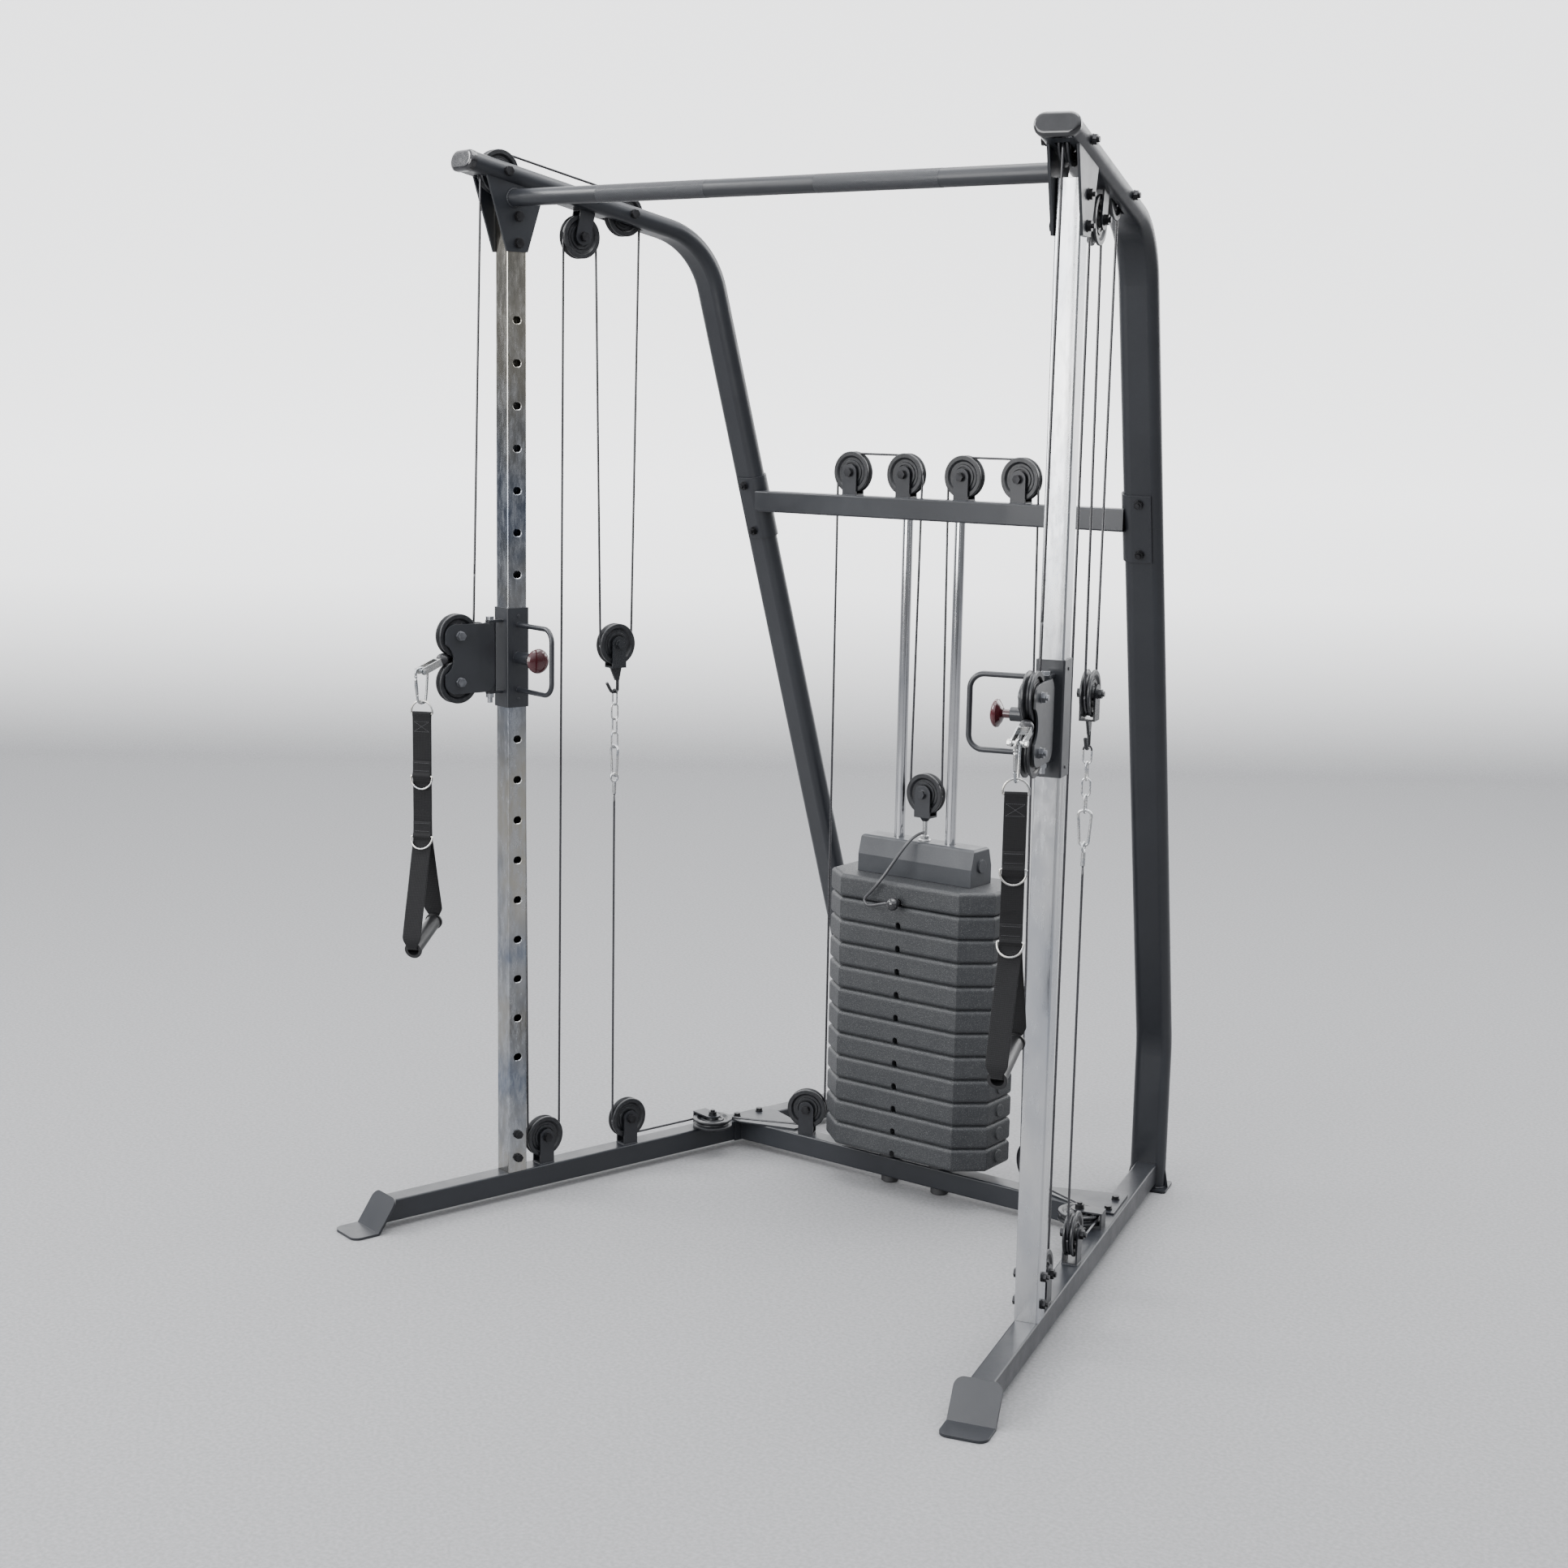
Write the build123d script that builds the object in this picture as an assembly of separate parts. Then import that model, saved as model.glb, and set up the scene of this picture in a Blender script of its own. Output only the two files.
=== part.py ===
from build123d import *
import math
import os

os.makedirs("parts", exist_ok=True)

# A cable functional trainer: two splayed side frames, one weight stack, two sliding carriages.
# Millimetres, +Z up, front towards -Y, origin on the floor at the middle of the footprint.

# ---- driving dimensions -------------------------------------------------------------------
TUBE = 44.5              # square tube of the base, uprights and mid crossbar
WALL = 2.5
RAIL_BOTTOM = 14.5       # the base tubes stand clear of the floor on their foot plates
RAIL_TOP = RAIL_BOTTOM + TUBE
SPLAY = math.radians(14.57)   # each side frame turns outward towards the front
UPRIGHT_X = 624.0        # upright axis from the middle plane
FOOT_REACH = 394.0       # toe of the front foot, ahead of the upright
FOOT_WIDE = 85.0
REAR_REACH = 975.0       # rear edge of the rear foot, behind the upright
REAR_WIDE = 92.0
TOE_ROUND, HEEL_ROUND = 18.0, 8.0   # corner radii of the front and rear feet
STACK_BEHIND = 584.5     # crossbeams, guide rods and stack, behind the uprights

OVAL_W, OVAL_H, OVAL_WALL = 76.0, 38.0, 3.0   # flat-oval tube of the arms and rear posts
ARM_RISE = math.atan(0.21)
ARM_Z = 2073.8           # arm centre line above the upright axis
ARM_FRONT = 100.0        # arm tube end; the cap stands ahead of it
POST_LEAN = 0.2835       # rear post: forward travel per unit of height
POST_S, POST_Z = -608.0, 1478.0
POST_FOOT = -935.0       # where the post turns vertical
ARM_BEND, POST_BEND = 165.0, 200.0

UPRIGHT_TOP = 2022.0
HOLE_PITCH, HOLE_FIRST, HOLE_COUNT = 83.0, 305.0, 19
HOLE_W, HOLE_H, HOLE_LIP = 18.0, 14.0, 1.2   # height holes: width, height and chamfer
SLEEVE, SLEEVE_WALL, SLEEVE_TALL = 50.8, 2.75, 200.0
CARRIAGE_Z = HOLE_FIRST + 10 * HOLE_PITCH + 1.0

PULLEY_R, CABLE_AT, RIM_HALF, HUB_HALF = 43.0, 38.7, 9.5, 10.5
AXLE_R, BORE_R = 5.0, 5.08
GAP = 22.4               # between the ears of a pulley bracket
EAR = 3.5
CABLE_R = 2.4

MID_TOP, MID_SIZE = 1462.0, 44.0
MID_AXLE, MID_X = 1509.5, (202.7, 70.0)
STACK_AXLE = 853.6
PLATES, PLATE_PITCH, PLATE_GAP, STACK_BOTTOM = 12, 49.2, 0.3, 88.0
PLATE_W, PLATE_D, CHAMFER_X, CHAMFER_Y = 406.0, 185.0, 57.0, 48.0
ROD_R, ROD_X = 11.0, 63.0
STEM_R = 12.5
LOW_AXLE = 116.0         # axle height of the pulleys standing on the base

TOP_PULLEY = (29.6, ARM_Z + 29.6 * 0.21)
REAR_PULLEY = (-267.0, ARM_Z - 267.0 * 0.21)
HANG_DROP = 70.0         # hanging pulley axle below the arm centre line
HANG_ON_ARM = -175.4
FLOAT = (-254.5, 1147.5)
RAIL_PULLEYS = (-77.3, -292.2)
CORNER_S = -496.0
CROSS_X = 286.0
CARRIAGE_PULLEY_S = 127.5
CARRIAGE_PULLEY_Z = (CARRIAGE_Z + 49.0, CARRIAGE_Z - 43.0)
HINGE_S = 51.0
BALL = (160.0, CARRIAGE_Z + 3.0)
BALL_R = 12.5
HANG = (207.0, CARRIAGE_Z - 17.0)    # clevis bolt that the handle hangs on
CORD_R = 3.2             # selector pin lanyard

corner = math.cos(SPLAY) + math.sin(SPLAY) - 1
front = FOOT_REACH * math.cos(SPLAY) + FOOT_WIDE / 2 * math.sin(SPLAY) - TOE_ROUND * corner
rear = REAR_REACH * math.cos(SPLAY) + REAR_WIDE / 2 * math.sin(SPLAY) - HEEL_ROUND * corner
UPRIGHT_Y = -(rear - front) / 2
STACK_Y = UPRIGHT_Y + STACK_BEHIND

# Side frame: local X runs forward along the rail, local Y outward, Z up.
SIDE = Plane((UPRIGHT_X, UPRIGHT_Y, 0), x_dir=(math.sin(SPLAY), -math.cos(SPLAY), 0), z_dir=(0, 0, 1)).location


# ---- helpers ------------------------------------------------------------------------------
def right(shape):
    return SIDE * shape


def left(shape):
    return mirror(right(shape), about=Plane.YZ)


def both(shape):
    return [right(shape), left(shape)]


def block(x0, x1, y0, y1, z0, z1):
    return Pos((x0 + x1) / 2, (y0 + y1) / 2, (z0 + z1) / 2) * Box(x1 - x0, y1 - y0, z1 - z0)


TURN = {"x": Rot(0, 90, 0), "y": Rot(90, 0, 0), "z": Rot(0, 0, 0)}


def rod(axis, centre, radius, length):
    return Pos(*centre) * TURN[axis] * Cylinder(radius, length)


def hexagon(axis, centre, across, length):
    prism = extrude(RegularPolygon(across / 2, 6, major_radius=False), length)
    return Pos(*centre) * TURN[axis] * Pos(0, 0, -length / 2) * prism


def strut(start, end, radius):
    line = Line(start, end)
    return sweep(Plane(origin=line @ 0, z_dir=line % 0) * Circle(radius), path=line)


def bend(start, middle, end, radius):
    arc = ThreePointArc(start, middle, end)
    return sweep(Plane(origin=arc @ 0, z_dir=arc % 0) * Circle(radius), path=arc)


def square_tube(size, wall, length):
    outer = extrude(RectangleRounded(size, size, 3.5), length)
    return outer - extrude(RectangleRounded(size - 2 * wall, size - 2 * wall, 1.5), length)


def along_x(shape, x, y, z):
    """Lay a shape built along Z along X instead, starting at x."""
    return Pos(x, y, z) * Rot(0, 90, 0) * shape


def bolt(axis, centre, grip, across=15.0, head=6.0, radius=4.0):
    """Hex bolt with a washer under the head and a lock nut; grip is what it clamps."""
    x, y, z = centre
    step = {"x": (1, 0, 0), "y": (0, 1, 0), "z": (0, 0, 1)}[axis]

    def at(d):
        return (x + step[0] * d, y + step[1] * d, z + step[2] * d)

    half = grip / 2 + 0.05
    shape = rod(axis, at(3.0), radius, grip + 18)
    for side in (-1, 1):
        shape += rod(axis, at(side * (half + 0.8)), across * 0.6, 1.6)
        shape += hexagon(axis, at(side * (half + 1.6 + head / 2)), across, head)
    return shape


# ---- pulleys and their brackets -----------------------------------------------------------
def pulley():
    """Grooved cable wheel on the Y axis, with the stepped rings of a moulded wheel."""
    side = [(BORE_R, HUB_HALF), (12.5, HUB_HALF), (13.5, 6.0), (19.0, 6.0), (19.8, 8.0), (24.5, 8.0),
            (25.5, 5.5), (30.5, 5.5), (34.5, RIM_HALF), (PULLEY_R - 1.2, RIM_HALF), (PULLEY_R, RIM_HALF - 1.2),
            (PULLEY_R, 5.6), (CABLE_AT, 2.8)]
    mirrored = [(r, -w) for r, w in reversed(side)]
    edges = [Polyline(*side), ThreePointArc(side[-1], (CABLE_AT - 2.8, 0), mirrored[0]),
             Polyline(*mirrored), Line(mirrored[-1], side[0])]
    return revolve(make_face(edges), Axis.Y)


def bracket(rise, width=34.0):
    """U bracket on Z = 0 with its axle along Y at the given rise."""
    outer = GAP / 2 + EAR
    shape = block(-width / 2, width / 2, -outer, outer, 0, EAR)
    for y in (-outer + EAR / 2, outer - EAR / 2):
        shape += block(-width / 2, width / 2, y - EAR / 2, y + EAR / 2, 0, rise)
        shape += rod("y", (0, y, rise), width / 2, EAR)
    return shape - rod("y", (0, 0, rise), AXLE_R + 0.05, 60)


def axle(half_grip=GAP / 2 + EAR, spacer=0.0):
    """Pulley bolt along Y with its head on the inner side; a spacer fills a wide tube."""
    shape = rod("y", (0, 2.0, 0), AXLE_R, 2 * half_grip + 20)
    for side in (-1, 1):
        shape += rod("y", (0, side * (half_grip + 0.85), 0), 9.5, 1.6)
        shape += hexagon("y", (0, side * (half_grip + 1.65 + 3.2), 0), 16.0, 6.4)
        if spacer:
            shape += rod("y", (0, side * (HUB_HALF + 0.4 + spacer / 2), 0), 8.0, spacer)
    return shape


# ---- cable routes -------------------------------------------------------------------------
def tangent(a, b):
    """Straight run from circle a to circle b; a circle is (x, z, radius, turn), turn +1 anticlockwise."""
    dx, dz = b[0] - a[0], b[1] - a[1]
    span = math.hypot(dx, dz)
    shift = (a[2] * a[3] - b[2] * b[3]) / span
    heading = math.atan2(dz, dx) + math.asin(shift)
    side = (math.sin(heading), -math.cos(heading))
    return [(c[0] + side[0] * c[2] * c[3], c[1] + side[1] * c[2] * c[3]) for c in (a, b)]


def belt(circles):
    """Runs and arcs of a cable that follows the circles in order, as 2-D points."""
    runs = [tangent(a, b) for a, b in zip(circles, circles[1:])]
    pieces = [("run", runs[0][0], runs[0][1])]
    for wheel, before, after in zip(circles[1:-1], runs, runs[1:]):
        start = math.atan2(before[1][1] - wheel[1], before[1][0] - wheel[0])
        end = math.atan2(after[0][1] - wheel[1], after[0][0] - wheel[0])
        sweep_by = (end - start) * wheel[3] % (2 * math.pi) * wheel[3]
        mid = start + sweep_by / 2
        middle = (wheel[0] + wheel[2] * math.cos(mid), wheel[1] + wheel[2] * math.sin(mid))
        pieces += [("arc", before[1], middle, after[0]), ("run", after[0], after[1])]
    return pieces


def cable(pieces, lift):
    """Solid cable along the pieces; lift turns a 2-D point into a 3-D one."""
    solids = []
    for kind, *points in pieces:
        points = [lift(*p) for p in points]
        solids.append(strut(*points, CABLE_R) if kind == "run" else bend(*points, CABLE_R))
    return solids


def write(name, shapes):
    solids = []
    for shape in shapes if isinstance(shapes, (list, tuple)) else [shapes]:
        solids += list(shape.solids())
    part = solids[0] if len(solids) == 1 else Compound(children=solids)
    part.label = name
    export_step(part, f"parts/{name}.step")


# ---- side frame: places in its own plane ---------------------------------------------------
lean = math.atan(POST_LEAN)
corner_s = (POST_S + POST_LEAN * (ARM_Z - POST_Z)) / (1 - POST_LEAN * 0.21)
corner_z = ARM_Z + 0.21 * corner_s
knee_z = POST_Z + (POST_FOOT - POST_S) / POST_LEAN
joint_z = POST_Z - 48.5


def post_s(z):
    return POST_S + POST_LEAN * (z - POST_Z)


def oval_path(points, radii):
    return FilletPolyline(*[(s, 0, z) for s, z in points], radius=radii)


def oval(path, width, height):
    start = Plane(origin=path @ 0, x_dir=(0, 1, 0), z_dir=path % 0)
    return sweep(start * SlotOverall(width, height), path=path)


def oval_tube(path):
    return oval(path, OVAL_W, OVAL_H) - oval(path, OVAL_W - 2 * OVAL_WALL, OVAL_H - 2 * OVAL_WALL)


arm_path = oval_path([(ARM_FRONT, ARM_Z + 0.21 * ARM_FRONT), (corner_s, corner_z), (post_s(joint_z), joint_z)],
                     [ARM_BEND])
post_path = oval_path([(post_s(joint_z - 0.1), joint_z - 0.1), (POST_FOOT, knee_z), (POST_FOOT, 5.0)], [POST_BEND])
post_line = Line((post_s(joint_z + 200), 0, joint_z + 200), (post_s(joint_z - 200), 0, joint_z - 200))


# ---- base ----------------------------------------------------------------------------------
def base_rail():
    """Rail from the front foot plate to the rear post, the upright's spigot and the front foot."""
    tube = along_x(square_tube(TUBE, WALL, FOOT_REACH - POST_FOOT), POST_FOOT + OVAL_H / 2 + 0.1, 0, RAIL_BOTTOM + TUBE / 2)
    bend_s, plate, tip_s, tip_z = 343.0, 5.0, 298.0, 67.0
    slope = math.atan2(tip_z, bend_s - tip_s)
    ahead = Pos(bend_s, 0, 0) * Rot(0, slope * 180 / math.pi - 90, 0) * block(1 - plate, 200, -60, 60, -60, 200)
    tube -= ahead
    toe = block(bend_s - 4, FOOT_REACH, -FOOT_WIDE / 2, FOOT_WIDE / 2, 0, plate)
    toe = fillet([e for e in toe.edges().filter_by(Axis.Z) if e.center().X > bend_s], TOE_ROUND)
    rise = math.hypot(tip_z, bend_s - tip_s)
    ramp = block(-plate, 0, -FOOT_WIDE / 2, FOOT_WIDE / 2, 0, rise)
    ramp = fillet([e for e in ramp.edges().filter_by(Axis.X) if e.center().Z > 1], TOE_ROUND)
    ramp = Pos(bend_s, 0, 0) * Rot(0, slope * 180 / math.pi - 90, 0) * ramp
    foot = toe + ramp - block(200, 420, -60, 60, -40, 0)
    spigot = Pos(0, 0, RAIL_TOP - WALL / 2) * square_tube(TUBE - 2 * WALL - 0.8, 3.0, 110)
    spigot -= [rod("y", (0, 0, z), 4.1, 80) for z in (89.0, 139.5)]
    return tube + foot + spigot


def rail_point(s, n):
    return (UPRIGHT_X + s * math.sin(SPLAY) + n * math.cos(SPLAY), UPRIGHT_Y - s * math.cos(SPLAY) + n * math.sin(SPLAY))


def crossbeam():
    """Floor-level beam between the rails, with end plates, corner gussets and gusset bolts' holes."""
    half = 520.0
    beam = along_x(square_tube(TUBE, WALL, 2 * half), -half, STACK_Y, RAIL_BOTTOM + TUBE / 2)
    keep = TUBE / 2 + 4.1
    outside = block(-900, 900, -keep, 400, -50, 200)
    plate = block(-640, -570, -keep, -TUBE / 2 - 0.1, RAIL_BOTTOM, RAIL_TOP)
    strip = [(-572, 13), (-572, -36), (-640, -150), (-672, -150), (-690, -21), (-690, 13)]
    gusset = extrude(make_face(Polyline(*strip, close=True)), 3.5)
    gusset = Pos(0, 0, RAIL_TOP + 0.05) * gusset
    gusset -= [rod("z", (s, -4, RAIL_TOP), 4.1, 40) for s in (-592, -655)]
    beam = beam - right(outside) - left(outside)
    for face in (plate, gusset):
        beam += right(face) + left(face)
    for x in (-ROD_X, ROD_X):
        beam -= rod("z", (x, STACK_Y, RAIL_BOTTOM), 4.1, 120)
    return beam


def pads():
    """Rubber discs under the crossbeam and the stack's bumpers on top of it."""
    shapes = []
    for x in (-ROD_X, ROD_X):
        disc = Pos(x, STACK_Y, RAIL_BOTTOM / 2) * Cylinder(19, RAIL_BOTTOM - 0.1)
        shapes.append(chamfer(disc.edges().group_by(Axis.Z)[0], 2))
        bumper = Pos(x, STACK_Y, (RAIL_TOP + STACK_BOTTOM) / 2) * Cylinder(24, STACK_BOTTOM - RAIL_TOP - 0.4)
        shapes.append(bumper - rod("z", (x, STACK_Y, RAIL_TOP), ROD_R + 0.3, 200))
    return shapes


# ---- uprights, arms and posts --------------------------------------------------------------
def upright():
    """Chromed tube with the row of height holes in its inner face."""
    tube = Pos(0, 0, RAIL_TOP + 0.1) * square_tube(TUBE, WALL, UPRIGHT_TOP - RAIL_TOP)
    lip = extrude(SlotOverall(HOLE_W + 2 * HOLE_LIP, HOLE_H + 2 * HOLE_LIP), -HOLE_LIP, taper=45)
    hole = Rot(90, 0, 0) * (lip + extrude(SlotOverall(HOLE_W, HOLE_H), 6, both=True))
    for k in range(HOLE_COUNT):
        tube -= Pos(0, -TUBE / 2, HOLE_FIRST + 1.0 + k * HOLE_PITCH) * hole
    for z in (89.0, 139.5, 1946.7, 1997.0):
        tube -= rod("y", (0, 0, z), 4.1, 60)
    return tube


def top_plate(n):
    """Triangular plate welded under the arm, one each side of the upright's top."""
    outline = [(-21.5, 1930.0), (25.9, 1930.0), (74.0, 2083.0), (-64.5, 2063.0)]
    face = Plane.XZ * make_face(Polyline(*outline, close=True))
    plate = extrude(face, 5)
    y = n - plate.bounding_box().center().Y
    return Pos(0, y, 0) * plate


def top_arm():
    """Arm and upper rear post in one bent oval tube, with the slots of its two pulleys."""
    tube = oval_tube(arm_path)
    plates = [top_plate(n) - oval(arm_path, OVAL_W, OVAL_H) for n in (-24.9, 24.9)]
    shape = tube + plates
    for s, z in (TOP_PULLEY, REAR_PULLEY):
        slot = block(-46, 46, -12.5, 12.5, -30, 30)
        shape -= Pos(s, 0, z) * Rot(0, -math.degrees(ARM_RISE), 0) * slot
        shape -= rod("y", (s, 0, z), AXLE_R + 0.05, 100)
    for z in (1946.7, 1997.0):
        shape -= rod("y", (0, 0, z), 4.1, 80)
    return shape - post_bolt(POST_Z, 4.1)


def post_bolt(z, radius, length=90.0):
    """Cylinder square to the leaning post at height z."""
    return Pos(post_s(z), -4.0, z) * Rot(0, 90 + math.degrees(lean), 0) * Cylinder(radius, length)


def rear_post():
    """Lower rear post on its foot plate, with the rib welded between them."""
    tube = oval_tube(post_path) - post_bolt(1381.0, 4.1)
    plate = block(-REAR_REACH, -901.0, -REAR_WIDE / 2, REAR_WIDE / 2, 0, 5.0)
    plate = fillet(plate.edges().filter_by(Axis.Z), HEEL_ROUND)
    rib = Plane.YZ * make_face(Polyline((38.2, 5), (45, 5), (38.2, 42), close=True))
    ribs = [Pos(POST_FOOT, 0, 0) * extrude(rib, 4), Pos(POST_FOOT, 0, 0) * mirror(extrude(rib, 4), about=Plane.XZ)]
    return tube + plate + ribs


def arm_cap():
    """Domed plastic plug closing the arm's front end."""
    cap = extrude(SlotOverall(OVAL_W + 3, OVAL_H + 3), 14)
    cap = fillet(cap.edges().group_by(Axis.Z)[-1], 7.5)
    cap += Pos(0, 0, -20) * extrude(SlotOverall(OVAL_W - 2 * OVAL_WALL - 0.4, OVAL_H - 2 * OVAL_WALL - 0.4), 20)
    plane = Plane(origin=(ARM_FRONT + 0.05, 0, ARM_Z + 0.21 * ARM_FRONT), x_dir=(0, 1, 0),
                  z_dir=(math.cos(ARM_RISE), 0, math.sin(ARM_RISE)))
    return plane.location * cap


def mid_crossbar():
    """Crossbar between the posts and the sleeves that wrap each post's inner side."""
    half = 480.0
    bar = along_x(square_tube(MID_SIZE, WALL, 2 * half), -half, STACK_Y, MID_TOP - MID_SIZE / 2)
    wrap = oval(post_line, OVAL_W + 7.4, OVAL_H + 7.4)
    hollow = oval(post_line, OVAL_W + 0.4, OVAL_H + 0.4)
    band = Pos(post_s(joint_z), 0, joint_z) * Rot(0, math.degrees(lean), 0) * block(-60, 60, -60, 20, -67, 67)
    sleeve = (wrap - hollow) & band
    sleeve -= [post_bolt(z, 4.1) for z in (POST_Z, 1381.0)]
    for side in (right, left):
        bar = bar - side(wrap) - side(block(-900, -300, -34, 300, 1300, 1600))
    for x in (CABLE_AT - MID_X[1], MID_X[0] + CABLE_AT):
        for side in (-1, 1):
            bar -= rod("z", (side * x, STACK_Y, MID_TOP), 6.5, 200)
    core = bar.solids().sort_by(SortBy.VOLUME)[-1]
    return core + right(sleeve) + left(sleeve)


def pull_up_bar():
    """Round bar between the inner top plates, a touch wider in its two knurled grips."""
    s, z, r = 8.5, 2031.7, 16.5
    x, y = rail_point(s, -27.5)
    bar = rod("x", (0, y, z), r, 2 * x + 30)
    for side in (-1, 1):
        bar += rod("x", (side * 252.0, y, z), r + 0.25, 260)
    bar -= rod("x", (0, y, z), r - 3, 2 * x + 60)
    beyond = block(-300, 300, -27.45, 200, 1800, 2200)
    return bar - right(beyond) - left(beyond)


# ---- stack ---------------------------------------------------------------------------------
def plate_outline(width, depth, cx, cy):
    w, d = width / 2, depth / 2
    points = [(-w + cx, -d), (w - cx, -d), (w, -d + cy), (w, d - cy), (w - cx, d), (-w + cx, d), (-w, d - cy),
              (-w, -d + cy)]
    return make_face(Polyline(*points, close=True))


def weight_plate():
    """Eight-sided plate with rounded rims, guide holes, centre hole and the pin slot under its front."""
    tall = PLATE_PITCH - PLATE_GAP
    body = extrude(plate_outline(PLATE_W, PLATE_D, CHAMFER_X, CHAMFER_Y), tall)
    rims = body.edges().group_by(Axis.Z)
    body = fillet(rims[0] + rims[-1], 9)
    for x in (-ROD_X, ROD_X):
        body -= Pos(x, 0, tall / 2) * Cylinder(ROD_R + 0.8, tall + 2)
    body -= Pos(0, 0, tall / 2) * Cylinder(STEM_R + 1.2, tall + 2)
    body -= block(-5.7, 5.7, -PLATE_D, 0, -1, 9.5) + rod("y", (0, -PLATE_D / 2, 9.5), 5.7, PLATE_D)
    for side in (-1, 1):
        body += rod("x", (side * PLATE_W / 2, 0, tall / 2), 13, 5)
    return body


def plate_bottom(k):
    return STACK_BOTTOM + k * PLATE_PITCH


HEAD_Z, HEAD_TALL, HEAD_HALF = plate_bottom(PLATES), 77.0, 140.0


def stack_head():
    """Head block: straight lower face, sloping upper face, rounded rims and end bosses."""
    profile = [(-39, 0), (39, 0), (39, 37), (27.5, HEAD_TALL), (-27.5, HEAD_TALL), (-39, 37)]
    body = Pos(-HEAD_HALF, 0, 0) * extrude(Plane.YZ * make_face(Polyline(*profile, close=True)), 2 * HEAD_HALF)
    tops = [e for e in body.edges() if e.center().Z > HEAD_TALL - 1]
    body = fillet(tops, 7)
    for side in (-1, 1):
        body += rod("x", (side * HEAD_HALF, 0, 40), 14, 7)
        body -= rod("z", (side * ROD_X, 0, 40), ROD_R + 0.8, 120)
    body -= rod("z", (0, 0, 40), 5.3, 120)
    return Pos(0, STACK_Y, HEAD_Z) * body


def selector_stem():
    """Lifting rod with its pin holes, the screw above the head and the stack pulley's bracket."""
    bottom = plate_bottom(0) + 4
    stem = Pos(0, 0, (bottom + HEAD_Z - 0.3) / 2) * Cylinder(STEM_R, HEAD_Z - 0.3 - bottom)
    for k in range(PLATES):
        stem -= rod("y", (0, 0, pin_height(k)), PIN_R + 0.08, 60)
    top = HEAD_Z + HEAD_TALL
    base = STACK_AXLE - 49.0
    stem += Pos(0, 0, (HEAD_Z + base) / 2) * Cylinder(5.0, base - HEAD_Z + 2)
    stem += Pos(0, 0, top + 1.05) * Cylinder(13, 1.8)
    stem += hexagon("z", (0, 0, top + 6), 17, 8.2)
    stem += Pos(0, 0, base - 4) * Cone(7, 12, 8)
    yoke = Pos(0, 0, base) * bracket(49.0, 38.0)
    return [Pos(0, STACK_Y, 0) * (stem + yoke), Pos(0, STACK_Y, STACK_AXLE) * axle()]


PIN_R, PIN_LIFT = 4.7, 8.8


def pin_height(k):
    return plate_bottom(k) + PIN_LIFT


PIN_Y = -(PLATE_D / 2 + 22)      # ball centre ahead of the stack's middle


def selector_pin():
    """Straight pin through plate and stem, with a round black grip."""
    tip = STEM_R - 0.5
    shaft = rod("y", (0, (PIN_Y + tip) / 2, 0), PIN_R, tip - PIN_Y)
    collar = rod("y", (0, PIN_Y + 14, 0), 6.5, 8)
    return Pos(0, STACK_Y, pin_height(PLATES - 1)) * (shaft + Pos(0, PIN_Y, 0) * Sphere(13.5) + collar)


CORD_POINTS = [(0, -7.6, 94), (-5, -30, 91), (-12, -58, 70), (-21, -92, 34), (-38, -105, 2), (-58, -110, -24),
               (-74, -112, -40), (-66, -114.5, -52), (-50, -114.5, -51), (-32, -114.5, -45), (-14.3, -114.5, -40.9)]


def lanyard():
    """Limp cord from the head's screw to the selector pin's ball; the points are from the head's base."""
    points = [Vector(x, STACK_Y + y, HEAD_Z + z) for x, y, z in CORD_POINTS]
    runs = [b - a for a, b in zip(points, points[1:])]
    radii = []
    for before, after in zip(runs, runs[1:]):
        turn = math.radians(before.get_angle(after))
        radii.append(0.45 * min(before.length, after.length) / math.tan(turn / 2))
    print("lanyard radii", [round(r, 1) for r in radii], "runs", [round(r.length, 1) for r in runs])
    path = FilletPolyline(*points, radius=radii)
    tube = sweep(Plane(origin=path @ 0, z_dir=path % 0) * Circle(CORD_R), path=path)
    print("lanyard volume", round(tube.volume), "section by length", round(math.pi * CORD_R**2 * path.length))
    return tube


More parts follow.
